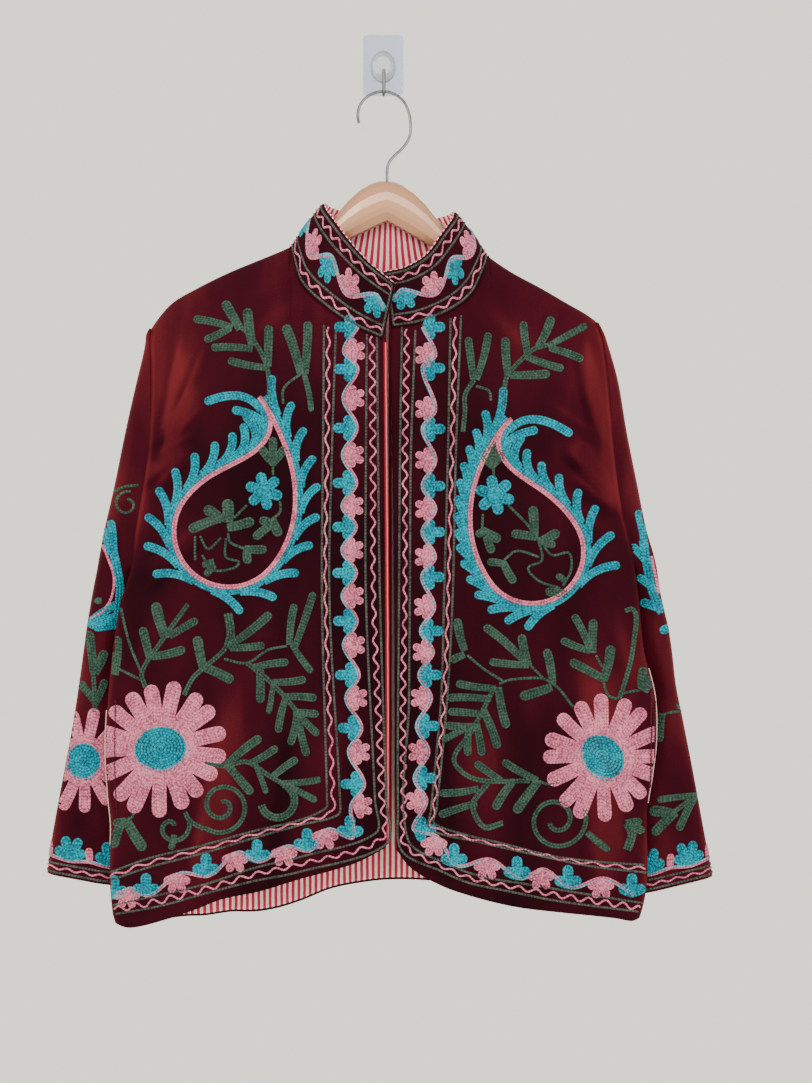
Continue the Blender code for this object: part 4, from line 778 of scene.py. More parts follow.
# The tip sinks by tipDrop over its first rows, and its wall is turned straight down over rimRows.
sleeve = dict(behindY=-24.0, puffY=-33.0, backY=-3.0, tuck=16.0, drop=40.0, turn=12.0, cuffY=-27.0, wall=1.0,
              tipDrop=3.0, tipRows=2.5, rimRows=0.8, width=90.0, pitch=3.0, armholeSteps=46, lowSteps=110,
              sightY=-29.0)
sleeveFine = (0.0, 0.3, 1.0, 2.2, 4.0, 6.5, 9.5)
# Creases of the sleeves: x and z at each end, width, height.
sleeveCreases = dict(
    left=[(-262, -420, -286, -520, 7, 1.6), (-268, -560, -296, -640, 9, 1.4),
          (-280, -650, -318, -700, 12, 1.2), (-300, -720, -312, -800, 12, -1.2)],
    right=[(246, -420, 266, -510, 7, 1.6), (272, -560, 286, -640, 9, 1.4), (280, -650, 306, -700, 12, 1.2),
           (296, -720, 306, -800, 12, -1.2)])


def sleeveRows(side):
    # Row number, inner x, z, front y, back y, outer x, z for each row from the tip to the cuff.
    tip = sideTable[side][-1, 0]
    height = tip + (underarmZ[side] - tip) * armholeTable[:, 0]
    innerX = sideX(side, height) + outwards[side] * cut["seam"] / 2
    outerX = curveAt(sleeveEdge[side], 0, 1, height)
    beside = np.stack([innerX, height, armholeTable[:, 1], armholeTable[:, 2], outerX, height], axis=1)
    below = np.array(sleeveRings[side])[:, [0, 2, 1, 1, 3, 4]]
    rows = np.concatenate([beside, below])
    return np.concatenate([np.arange(len(rows))[:, None], rows], axis=1)


def sleeveSheet(side, x, z):
    # Front depth: full outside the body's edge, pressed flat where it is tucked behind the body.
    cuffZ = sleeveRings[side][-1][-1]
    full = sleeve["puffY"] + (sleeve["cuffY"] - sleeve["puffY"]) * smoothStep(-z, -underarmZ[side], -cuffZ)
    full = full - creaseHeight(sleeveCreases[side], x, z) - 0.5 * rumple(x * 1.4, z, 6.0)
    beyond = outwards[side] * (x - sideX(side, z))
    tucked = sleeve["behindY"] + (full - sleeve["behindY"]) * smoothStep(beyond, -1.0, sleeve["tuck"])
    return full + (tucked - full) * smoothStep(underarmZ[side] - z, 0.0, sleeve["drop"])


def sleevePoints(side, row, part):
    # row is 0 at the tip and cuffRow at the cuff; part 0 to 1 crosses the front, 1 to 2 the back.
    rows = sleeveRows(side)
    innerX, innerZ, frontY, backY, outerX, outerZ = [curveAt(rows, 0, column, row) for column in range(1, 7)]
    share = np.where(part <= 1.0, part, 2.0 - part)
    x = innerX + (outerX - innerX) * share
    z = innerZ + (outerZ - innerZ) * share
    onFront = part <= 1.0
    startY = np.where(onFront, frontY, backY)
    sheet = np.where(onFront, sleeveSheet(side, x, z), sleeve["backY"])
    width = np.abs(outerX - innerX)
    radius = np.minimum(sleeve["turn"], width)
    y = startY + (sheet - startY) * turned(width * share, radius)
    y = cut["shoulderY"] + (y - cut["shoulderY"]) * turned(width * (1.0 - share), radius)
    return np.stack([x, y, z], -1)


def makeSleeve(side, materials):
    steps = gradedSteps(sleeve["width"], sleeve["pitch"], sleeveFine, both=True)
    part = np.concatenate([steps, 2.0 - steps[-2::-1]])
    upper = np.linspace(0.0, underarmRow, sleeve["armholeSteps"])
    row = np.concatenate([upper, np.linspace(underarmRow, cuffRow, sleeve["lowSteps"])[1:]])
    points = sleevePoints(side, row[:, None] + 0 * part[None, :], part[None, :] + 0 * row[:, None])
    points[..., 2] -= sleeve["tipDrop"] * (1.0 - smoothStep(row, 0.0, sleeve["tipRows"]))[:, None]
    inward = inwardNormals(points, (100, len(steps) // 2), 1.0)
    settled = smoothStep(row, 0.0, sleeve["rimRows"])[:, None, None]
    inward = inward * settled + np.array((0.0, 0.0, -1.0)) * (1.0 - settled)
    weld = len(upper) - 1
    inward[weld:, 0] = inward[weld:, -1] = inward[weld:, 0] + inward[weld:, -1]
    inward /= np.maximum(np.linalg.norm(inward, axis=2, keepdims=True), 1e-9)
    x, z = points[..., 0], points[..., 2]
    outerX = curveAt(sleeveRows(side), 0, 5, row)[:, None]
    # The sleeves are lighter all over by 0.13, a painted sheen.
    pileToneAndSheen = pileToneAndSheenFor(x, z, np.abs(outerX - x), creaseHeight(sleeveCreases[side], x, z)) + 0.13
    piece = makeShell("sleeveCloth" + side.title(), points, inward, sleeve["wall"], materials["velvet"],
                      pileToneAndSheen, closedFrom=weld)
    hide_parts("sleeve_" + side)
    return piece


collar = dict(height=58.0, bulge=1.5, middle=(6.0, -25.0, 0.0), rows=20, columns=190)


def collarPoints(station, rise, lift=0.0):
    # Between seam and rim, bulging out by a half sine of the rise; lift moves it out along the same way.
    seam, rim = columnsAt(neckTable, (1, 2, 3), station), columnsAt(neckTable, (4, 5, 6), station)
    seam[..., 2] += cut["seam"] / 2
    step = 0.05
    ahead, behind = np.minimum(station + step, lastStation), np.maximum(station - step, 0.0)
    run = columnsAt(neckTable, (1, 2), ahead) - columnsAt(neckTable, (1, 2), behind)
    length = np.hypot(run[..., 0], run[..., 1])
    out = np.stack([run[..., 1] / length, -run[..., 0] / length, 0 * length], -1)
    out = facingWith(out, seam - np.array(collar["middle"]))
    bulge = collar["bulge"] * np.sin(math.pi * rise)[..., None]
    return seam + (rim - seam) * rise[..., None] + out * (bulge + lift), out


def makeCollar(materials):
    rise, station = np.meshgrid(np.linspace(0.0, 1.0, collar["rows"]),
                                np.linspace(0.0, lastStation, collar["columns"]), indexing="ij")
    points, out = collarPoints(station, rise)
    pileToneAndSheen = 0.24 + 0.05 * rumple(points[..., 0] * 2.0, points[..., 2] * 2.0, 5.0)
    piece = makeShell("collarCloth", points, -out, cut["wall"], materials["velvet"], pileToneAndSheen)
    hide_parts("collar")
    inner, out = collarPoints(station, rise, -(cut["wall"] + cut["seam"]))
    inner[-1] += (points[-1] - points[-2]) / np.linalg.norm(points[-1] - points[-2], axis=1)[:, None]
    uv = np.stack([lengthAlong(inner[collar["rows"] // 2]) + 0 * rise, rise * collar["height"]], -1)
    lining = makeShell("collarStripes", inner, -out, cut["liningWall"], materials["stripes"],
                       uv=uv)
    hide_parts("collar_lining")
    return piece, lining


# inset is in mesh columns. The strip's offsets run from beyond the front's edge to behind it.
linings = dict(inset=9, backRise=2.5, stripRise=2.0, offsets=(4.0, 3.4, 2.5, 0.0, -4.0, -10.0, -16.0, -22.0),
               firstStripe=3.2)


def makeLinings(materials):
    # Stripes inside the back and a strip behind the left front's edge, from the panels' own points.
    layer = cut["wall"] + cut["seam"]
    points, inward = [grid[:-len(fineTop), linings["inset"]:-linings["inset"]] for grid in panels["back"]]
    grid = points + inward * layer
    grid[0, :, 2] += linings["backRise"]
    backLining = makeShell("backStripes", grid, inward, cut["liningWall"], materials["hemStripes"],
                           uv=grid[..., [0, 2]])
    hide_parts("lining_back")
    points, inward = [grid[:-2] for grid in panels["frontleft"]]
    edge, way = points[:, 0], inward[:, 0]
    outward = edge - points[:, 1]
    outward /= np.linalg.norm(outward, axis=1, keepdims=True)
    offsets = np.array(linings["offsets"])
    grid = edge[:, None] + outward[:, None] * offsets[None, :, None] + way[:, None] * layer
    grid[0, :, 2] += linings["stripRise"]
    uv = np.stack([offsets[None, :] + linings["firstStripe"] + 0 * grid[..., 0], grid[..., 2]], -1)
    strip = makeShell("frontStripes", grid, way[:, None] + 0 * grid, cut["liningWall"],
                      materials["shadedEdgeStripes"], uv=uv)
    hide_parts("lining_front_left")
    return backLining, strip


# Pocket mouths: lowest and highest z, and the mesh columns that turn out.
pocketMouths = dict(left=(-804.0, -661.0, slice(0, 8)), right=(-761.0, -616.0, slice(-8, None)))
pocketWall = 0.9


def makePockets(materials):
    # The pocket mouths' turned edges, lifted off the back's side.
    made = []
    points, inward = panels["back"]
    for side, (lowZ, highZ, columns) in pocketMouths.items():
        edgeZ = points[:, 0 if side == "left" else -1, 2]
        rows = (edgeZ > lowZ) & (edgeZ < highZ)
        ways = -inward[rows][:, columns]
        grid = points[rows][:, columns] + ways * cut["seam"]
        piece = makeShell("pocketEdge" + side.title(), grid, ways, pocketWall, materials["pale"])
        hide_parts("pocket_edge_" + side)
        made.append(piece)
    return made


# Embroidery: rows of chain stitch laid on a ground. A ground turns flat places into points on the cloth.

# margin is what is kept bare at a panel's outer edge.
stitch = dict(width=2.85, gap=2.62, lift=1.2, link=3.2, samples=3, margin=0.8)
# Across a row: share of the half width, share of the lift.
stitchProfile = np.array([(-1.0, -0.3), (-0.56, 0.82), (0.56, 0.82), (1.0, -0.3)])

# Small steps for a ground's slope: millimetres on a sheet, then shares and rows of a sleeve and the collar.
slopeSteps = dict(sheet=0.6, share=0.008, row=0.05, round=0.01, rise=0.02)


def sightPlace(places, y):
    # x and z where the line of sight through a picture place reaches the depth y.
    reach = 1.0 + (y - picture["planeY"]) / picture["eyeDistance"]
    return (picture["eyeX"] + (places[..., 0] - picture["width"] / 2) * reach,
            picture["eyeZ"] - (places[..., 1] - picture["height"] / 2) * reach)


def onFront(side):
    # Picture places onto a front: the line of sight is followed to the cloth's depth in a few rounds.
    def surface(x, z):
        return np.stack([x, frontDepth(side, x, z), z], -1)

    def ground(places):
        y = np.full(places.shape[:-1], picture["planeY"])
        for _ in range(4):
            x, z = sightPlace(places, y)
            point = surface(x, z)
            y = point[..., 1]
        inside = outwards[side] * (sideX(side, z) - x) > stitch["margin"]
        return point, squareTo(surface, x, z, slopeSteps["sheet"], slopeSteps["sheet"]), inside
    return ground


def onSleeve(side):
    # Picture places onto a sleeve's front: the row is halved in on by height, the depth in rounds.
    rows = sleeveRows(side)

    def surface(share, row):
        return sleevePoints(side, np.clip(row, 0, cuffRow), np.clip(share, 0, 1))

    def crossing(row, x):
        innerX, innerZ, outerX, outerZ = [curveAt(rows, 0, column, row) for column in (1, 2, 5, 6)]
        share = np.clip((x - innerX) / (outerX - innerX), 0.0, 1.0)
        return share, innerZ + (outerZ - innerZ) * share, outerX

    def ground(places):
        y = np.full(places.shape[:-1], sleeve["sightY"])
        for _ in range(3):
            x, z = sightPlace(places, y)
            low, high = np.zeros_like(x), np.full_like(x, cuffRow)
            for _ in range(14):
                middle = 0.5 * (low + high)
                above = crossing(middle, x)[1] > z
                low, high = np.where(above, middle, low), np.where(above, high, middle)
            row = 0.5 * (low + high)
            share, _, outerX = crossing(row, x)
            point = surface(share, row)
            y = point[..., 1]
        normal = squareTo(surface, share, row, slopeSteps["share"], slopeSteps["row"])
        inside = (outwards[side] * (outerX - x) > stitch["margin"]) & (share > 0.02)
        return point, facingWith(normal, np.array((0.0, -1.0, 0.0))), inside
    return ground


def onBack(places):
    # Places are x and z in millimetres.
    def surface(x, z):
        return np.stack([x, backDepth(x, z), z], -1)

    x, z = places[..., 0], places[..., 1]
    inside = (x - sideX("left", z) > stitch["margin"]) & (sideX("right", z) - x > stitch["margin"])
    return surface(x, z), -squareTo(surface, x, z, slopeSteps["sheet"], slopeSteps["sheet"]), inside


cuffSpan = dict(width=125.0, rowHeight=34.0)


def onCuff(side):
    # Places are millimetres round the cuff from its inner edge across the front, and millimetres up.
    def surface(part, row):
        return sleevePoints(side, row, np.mod(part, 2.0))

    def ground(places):
        part = np.mod(places[..., 0] / cuffSpan["width"], 2.0)
        row = cuffRow - places[..., 1] / cuffSpan["rowHeight"]
        point = surface(part, row)
        middle = 0.5 * (surface(0 * part + 0.5, row) + surface(0 * part + 1.5, row))
        normal = squareTo(surface, part, row, slopeSteps["round"], slopeSteps["row"])
        return point, facingWith(normal, point - middle), np.ones(part.shape, bool)
    return ground


collarRun = {}


def onCollar(places):
    # Places are millimetres along the collar from the wearer's right end and millimetres up from its seam.
    def surface(station, rise):
        return collarPoints(np.clip(station, 0, lastStation), np.clip(rise, 0, 1))[0]

    if not collarRun:
        stations = np.linspace(0.0, lastStation, 400)
        line, _ = collarPoints(stations, 0 * stations + 0.5)
        collarRun.update(stations=stations, length=lengthAlong(line))
    station = np.interp(places[..., 0], collarRun["length"], collarRun["stations"])
    rise = np.clip(places[..., 1] / collar["height"], 0.0, 1.0)
    point, out = collarPoints(station, rise)
    normal = squareTo(surface, station, rise, slopeSteps["rise"], slopeSteps["rise"])
    return point, facingWith(normal, out), np.ones(station.shape, bool)


def evenPath(points, step, smooth=True):
    # The same line with its points evenly spaced; smooth runs cubics through the given points.
    points = np.asarray(points, dtype=float)
    length = lengthAlong(points)
    if smooth and len(points) > 2:
        table = np.concatenate([length[:, None], points], axis=1)
        points = columnsAt(table, (1, 2), np.linspace(0.0, length[-1], max(8, int(length[-1]))))
        length = lengthAlong(points)
    wanted = np.linspace(0.0, length[-1], max(3, int(round(length[-1] / step)) + 1))
    return np.stack([np.interp(wanted, length, points[:, 0]), np.interp(wanted, length, points[:, 1])], -1)


def pathNormals(path):
    run = np.gradient(path, axis=0)
    run /= np.maximum(np.hypot(run[:, 0], run[:, 1]), 1e-9)[:, None]
    return np.stack([-run[:, 1], run[:, 0]], -1)


def shifted(path, offset):
    return path + pathNormals(path) * np.asarray(offset)[..., None]


class Sampler:
    # Gathers rows by colour, then sews each colour as one mesh.
    def __init__(self, lift=1.0):
        self.rows = {}
        self.lift = lift

    def row(self, colour, points, width=None, smooth=True):
        path = evenPath(points, stitch["link"] / stitch["samples"], smooth)
        self.rows.setdefault(colour, []).append((path, width or stitch["width"]))

    def stem(self, colour, points, width):
        # Side by side rows as wide as the stem.
        path = evenPath(points, 1.2)
        count = max(1, int(round(width / stitch["width"])))
        each = width / count
        for index in range(count):
            offset = (index - (count - 1) / 2) * each
            self.row(colour, shifted(path, np.full(len(path), offset)), min(each * 1.08, 3.1))

    def finger(self, colour, base, tip, width, bend=0.0, narrow=0.76):
        # A blunt leaf or petal; bend is how far its middle stands off the straight line, as a share of it.
        base, tip = np.array(base, float), np.array(tip, float)
        base = base - (tip - base) * min(0.12, 3.0 / math.hypot(*(tip - base)))
        way = tip - base
        length = math.hypot(*way)
        side = np.array((-way[1], way[0])) / length
        parts = np.linspace(0.0, 1.0, 14)
        axis = base + way * (parts * (length - width / 2) / length)[:, None]
        axis += side * (bend * length * np.sin(math.pi * parts / 1.4))[:, None]
        self.fingerAlong(colour, axis, width, narrow)

    def fingerAlong(self, colour, axis, width, narrow=0.76):
        # Hairpin rows nested inside each other round one axis, which ends half a width short of the tip.
        half = width / 2
        shape = narrow + (1.0 - narrow) * np.sin(0.5 * math.pi * np.linspace(0.0, 1.0, len(axis)))
        endWay = axis[-1] - axis[-2]
        endWay /= math.hypot(*endWay)
        endSide = np.array((-endWay[1], endWay[0]))
        turn = np.linspace(0.0, math.pi, 8)[1:-1]
        count = max(1, int(round(half / stitch["gap"])))
        for index in range(count):
            radius = half * (count - index - 0.5) / count
            if radius < 0.9:
                continue
            cap = axis[-1] + radius * (np.cos(turn)[:, None] * endSide + np.sin(turn)[:, None] * endWay)
            up, down = shifted(axis, radius * shape), shifted(axis, -radius * shape)
            self.row(colour, np.concatenate([up, cap, down[::-1]]), 1.16 * half / count)
        if count == 1 or half / count > 2.3:
            self.row(colour, np.concatenate([axis, axis[-1:] + endWay * 0.7]), 2.4)

    def oval(self, colour, centre, radiusX, radiusY, tilt=0.0):
        # One row wound inwards: the radius shrinks by a row's width each turn.
        gap = stitch["width"] * 0.95
        turns = min(radiusX, radiusY) / gap - 0.35
        angle = np.linspace(0.0, 2 * math.pi * turns, int(26 * turns))
        shrink = gap * (0.5 + angle / (2 * math.pi))
        x = np.maximum(radiusX - shrink * radiusX / min(radiusX, radiusY), 0.3) * np.cos(angle)
        y = np.maximum(radiusY - shrink * radiusY / min(radiusX, radiusY), 0.3) * np.sin(angle)
        lean = math.radians(tilt)
        self.row(colour, np.stack([centre[0] + x * math.cos(lean) - y * math.sin(lean),
                                   centre[1] + x * math.sin(lean) + y * math.cos(lean)], -1), 3.15)

    def bloom(self, colour, centre, heading, size=18.0, lobes=4):
        # A small flower: short fingers fanned out from its foot. heading is in degrees.
        angle = math.radians(heading)
        foot = np.array(centre) - 0.45 * size * np.array((math.cos(angle), math.sin(angle)))
        spread = 128.0
        wide = 0.42 if lobes > 3 else 0.54
        for index in range(lobes):
            place = index / (lobes - 1) - 0.5
            lean = math.radians(heading + spread * place)
            away = 1.0 - 0.55 * abs(place)
            tip = foot + size * away * np.array((math.cos(lean), math.sin(lean)))
            self.finger(colour, foot, tip, wide * size, 0.0, 0.7)

    def waves(self, colour, points, height, length, width=2.2):
        # height x sin(2 pi along / length), with a slow change of height along the row.
        path = evenPath(points, 1.5)
        along = np.arange(len(path)) * 1.5
        ends = turned(along, 6.0) * turned(along[::-1], 6.0)
        swing = np.sin(2 * math.pi * along / length + np.sin(along / 71.0))
        self.row(colour, shifted(path, height * (0.8 + 0.2 * np.sin(along / 53.0)) * swing * ends), width)

    def vine(self, points):
        path = evenPath(points, 1.2)
        self.row("mist", shifted(path, np.full(len(path), 1.0)), 2.1)
        self.row("pink", shifted(path, np.full(len(path), -1.0)), 2.1)

    def garland(self, feet, table):
        # Teal and pink flowers in turn. A colour has its flowers' height, their heading and the vine's height.
        stops = []
        for index, foot in enumerate(feet):
            colour = "pink" if index % 2 else "teal"
            up, heading, line = table[colour]
            self.bloom(colour, foot + (0.0, up), heading, table["flower"], table["lobes"])
            stops.append(foot + (0.0, line))
        return stops

    def sew(self, name, ground, materials):
        pieces = []
        for colour, rows in self.rows.items():
            paths = np.concatenate([path for path, _ in rows])
            across = np.concatenate([pathNormals(path) for path, _ in rows])
            half = np.concatenate([np.full(len(path), width / 2) for path, width in rows])
            order = np.concatenate([np.arange(len(path)) for path, _ in rows])
            back = np.concatenate([np.arange(len(path))[::-1] for path, _ in rows])
            joins = np.concatenate([np.arange(len(path)) < len(path) - 1 for path, _ in rows])
            pitch = stitch["link"] / stitch["samples"]
            pinch = 0.93 + 0.07 * np.sin(math.pi * order / stitch["samples"]) ** 2
            ends = turned((np.minimum(order, back) + 0.35) * pitch, half)
            wide = half * pinch * ends
            flat = paths[:, None] + across[:, None] * (wide[:, None] * stitchProfile[None, :, 0])[..., None]
            point, normal, inside = ground(flat)
            normal /= np.maximum(np.linalg.norm(normal, axis=-1, keepdims=True), 1e-9)
            lift = self.lift * stitch["lift"] * (0.86 + 0.14 * pinch) * (0.4 + 0.6 * ends)
            point = point + normal * (lift[:, None] * stitchProfile[None, :, 1])[..., None]
            index = np.arange(point.shape[0] * len(stitchProfile)).reshape(-1, len(stitchProfile))
            kept = joins[:-1] & inside[:-1].all(axis=1) & inside[1:].all(axis=1)
            quads = np.stack([index[:-1, :-1], index[:-1, 1:], index[1:, 1:], index[1:, :-1]], axis=-1)[kept]
            faces = quads.reshape(-1, 4)
            flatPoints = point.reshape(-1, 3)
            wrong = np.sum(faceWays(flatPoints, faces) * normal.reshape(-1, 3)[faces[:, 0]], axis=1) < 0.0
            faces[wrong] = faces[wrong][:, ::-1]
            if len(faces) == 0:
                continue
            used = np.unique(faces)
            renumber = np.zeros(len(flatPoints), int)
            renumber[used] = np.arange(len(used))
            uv = np.stack([order[:, None] / stitch["samples"] + 0 * flat[..., 0],
                           stitchProfile[None, :, 0] + 0 * flat[..., 0]], -1).reshape(-1, 2)
            pieces.append(makeMesh(name + colour.title(), flatPoints[used], renumber[faces],
                                   materials[colour], uv=uv[used]))
        return pieces


# The fronts' pattern in picture pixels. Leaves: tip's x, y, foot's x, y, width. Stems: width, then places.

leafPlaces = dict(
    left=[
        (224, 301, 239, 327, 10), (193, 320, 230, 327, 8), (204, 340, 228, 329, 8), (248, 308, 252, 343, 10),
        (211, 349, 250, 349, 8), (269, 325, 268, 364, 9), (228, 359, 263, 367, 8), (284, 325, 300, 371, 10),
        (307, 321, 305, 371, 9), (310, 412, 304, 375, 6),
        (142, 627, 149, 655, 9), (185, 648, 155, 656, 9), (156, 602, 165, 636, 11), (198, 620, 172, 635, 8),
        (116, 636, 115, 672, 9), (197, 636, 203, 667, 10), (233, 682, 205, 668, 10), (270, 612, 230, 645, 9),
        (265, 645, 233, 648, 8), (296, 604, 290, 642, 8), (313, 592, 296, 644, 8), (313, 672, 294, 647, 7),
        (289, 663, 256, 667, 8), (260, 703, 260, 669, 9), (306, 678, 275, 682, 8), (268, 714, 273, 684, 6),
        (317, 699, 285, 697, 8), (279, 733, 285, 701, 8), (319, 714, 296, 712, 8), (289, 745, 296, 718, 8),
        (319, 735, 302, 718, 8), (308, 756, 300, 726, 8), (262, 738, 228, 764, 9), (252, 794, 228, 766, 9),
        (277, 746, 252, 762, 8), (266, 794, 256, 766, 6), (298, 759, 275, 775, 8), (321, 778, 283, 783, 7),
        (317, 801, 287, 785, 7), (170, 850, 174, 836, 7), (145, 850, 127, 821, 11), (113, 848, 121, 825, 10),
        (113, 823, 125, 821, 9)],
    right=[
        (468, 337, 473, 377, 8), (487, 332, 477, 377, 8), (506, 337, 508, 373, 9), (524, 321, 528, 356, 8),
        (551, 316, 539, 345, 9), (587, 325, 550, 345, 7), (583, 361, 552, 349, 8), (564, 368, 530, 358, 8),
        (550, 373, 513, 375, 9), (458, 618, 464, 648, 9), (450, 661, 463, 655, 8), (483, 627, 524, 661, 9),
        (522, 634, 528, 663, 9), (489, 661, 526, 665, 8), (545, 649, 552, 682, 9), (520, 697, 549, 688, 10),
        (456, 682, 493, 688, 8), (447, 699, 488, 699, 8), (448, 712, 480, 714, 8), (445, 724, 476, 726, 8),
        (442, 741, 467, 728, 7), (508, 728, 499, 690, 9), (497, 749, 484, 712, 9), (482, 756, 477, 726, 8),
        (469, 756, 469, 730, 8), (475, 762, 499, 779, 8), (503, 760, 535, 779, 8), (495, 810, 512, 783, 9),
        (515, 813, 537, 783, 10), (439, 792, 476, 789, 8), (439, 816, 474, 804, 8), (610, 850, 589, 834, 7),
        (644, 832, 632, 827, 9), (642, 821, 627, 823, 8), (572, 615, 590, 650, 8), (594, 619, 593, 650, 9),
        (561, 639, 587, 650, 8), (610, 645, 604, 678, 10), (570, 661, 602, 678, 9), (644, 667, 642, 688, 9),
        (653, 674, 645, 690, 9)])
stemPlaces = dict(
    left=[
        (5, [(270, 410), (267, 367), (252, 338), (239, 325)]), (4, [(283, 404), (284, 388), (302, 373)]),
        (5, [(145.5, 688), (142, 672), (161, 642), (188, 604)]),
        (3.5, [(120, 604), (129, 642), (141, 672)]), (4, [(119, 669), (141, 680)]),
        (5, [(184, 695), (193, 678), (205, 667), (224, 650), (230, 638)]),
        (9, [(228, 646), (231, 634), (228, 613)]), (4, [(224, 659), (247, 663), (268, 650), (287, 646)]),
        (5, [(247, 663), (266, 678), (285, 697), (298, 714), (302, 726)]),
        (5, [(205, 762), (224, 766), (247, 762), (268, 775), (285, 785)]),
        (5, [(185, 812), (190, 821), (204, 829)]),
        (4, [(134, 813), (131, 819)])],
    right=[
        (5, [(474, 380), (465, 395), (465, 410), (463, 432)]), (3, [(476, 386), (489, 391), (491, 401)]),
        (5, [(503, 408), (505, 384), (508, 375), (521, 360), (534, 349), (547, 345)]),
        (4, [(467, 655), (484, 669), (503, 681)]),
        (4, [(499, 684), (509, 680), (535, 678), (547, 680), (560, 690), (573, 707)]),
        (4, [(530, 665), (543, 678)]), (5, [(495, 686), (473, 729), (454, 760), (475, 779), (530, 781)]),
        (4, [(539, 781), (547, 784), (560, 782)]), (6, [(488, 783), (473, 805), (484, 827), (503, 823)]),
        (9, [(627, 850), (632, 834), (627, 823)]), (4, [(596, 655), (602, 667)]),
        (4, [(603, 680), (608, 695), (617, 699)]),
        (5, [(625, 611), (632, 609), (635.5, 614), (636, 624), (634, 640), (631, 660), (623, 688),
             (619, 699)]),
        (4, [(623, 693), (640, 690)])])

# Curls: width, then centre, outer and inner radius, heading and turns.
curlPlaces = dict(
    left=[(8, ((277, 801), 18.0, 16.0, -68.0, 0.65)), (5, ((222, 806), 28.0, 4.0, 128.0, -1.62)),
          (5, ((172, 827), 18.0, 2.5, -15.0, 0.95))],
    right=[(5, ((556, 820), 31.0, 7.0, -22.0, 1.5))])

daisyPlaces = dict(
    left=dict(centre=(161, 748.5), eye=(29, 24.5), tilt=-8, petal=66, first=12, petals=17),
    right=dict(centre=(603, 757), eye=(27, 22), tilt=48, petal=62, first=-2, petals=16))

# A paisley: its spine's tip, bend and belly, then its lobes and what stands inside it.
paisleyPlaces = dict(
    left=dict(
        tip=(259, 397), bend=(300.5, 444.5), belly=(229, 532), radius=55.0,
        flower=(264, 491, 19), bud=(273, 450, 19, 26),
        firstLobes=dict(count=12, end=0.43, reach=33.0, extra=26.0, dip=4.0),
        secondLobes=dict(count=10, end=0.455, reach=28.0, extra=0.0, dip=2.0),
        leaves=[(227, 499, 228, 520, 12), (254, 520, 230, 527, 10), (204, 508, 221, 519, 11),
                (189, 531, 221, 518, 10), (259, 520, 271, 523, 9), (280, 536, 273, 521, 10),
                (254, 539, 271, 525, 9), (267, 549, 247, 549, 9), (248, 564, 247, 551, 9),
                (202, 566, 213, 562, 7), (205, 576, 214, 566, 7)],
        stems=[(4, [(273, 464), (273, 475)]), (4, [(247, 505), (234, 518)]),
               (4, [(280, 501), (280, 512), (271, 520)]), (4, [(228, 533), (230, 542), (245, 549)])],
        lines=[[(195, 536), (195, 560)], [(200, 536), (208, 549), (221, 538)],
               [(226, 538), (226, 557), (239, 562), (234, 568), (213, 570), (202, 555)]]),
    right=dict(
        tip=(512, 419), bend=(467, 454.5), belly=(532, 552), radius=51.5,
        flower=(495, 495, 20), bud=(492, 453, 20, 25),
        firstLobes=dict(count=16, end=0.473, reach=27.0, extra=8.0, dip=11.0),
        secondLobes=dict(count=10, end=0.387, reach=38.0, extra=28.0, dip=14.0),
        leaves=[(532, 506, 534, 534, 10), (511, 534, 534, 537, 9), (559, 531, 541, 541, 10),
                (556, 545, 541, 541, 8), (501, 540, 484, 531, 10), (493, 553, 487, 538, 9),
                (476, 536, 484, 531, 8), (487, 562, 504, 564, 8), (515, 583, 504, 564, 9),
                (545, 592, 565, 594, 9), (556, 575, 564, 580, 7)],
        stems=[(4, [(508, 505), (526, 523), (534, 534)]), (4, [(483, 514), (482, 529)]),
               (4, [(493, 466), (494, 478)])],
        lines=[[(537, 536), (542, 560), (528, 568), (539, 581), (560, 588)],
               [(541, 542), (552, 555), (569, 553), (571, 570), (563, 586)],
               [(504, 560), (517, 551), (539, 557)]]))
paisleyLook = dict(swell=3.3, first=0.012, slide=13, shortSlide=5, far=42.0, start=6.0, along=0.5,
                   lobeWidth=8.6, lean=0.25, tipLean=0.35)

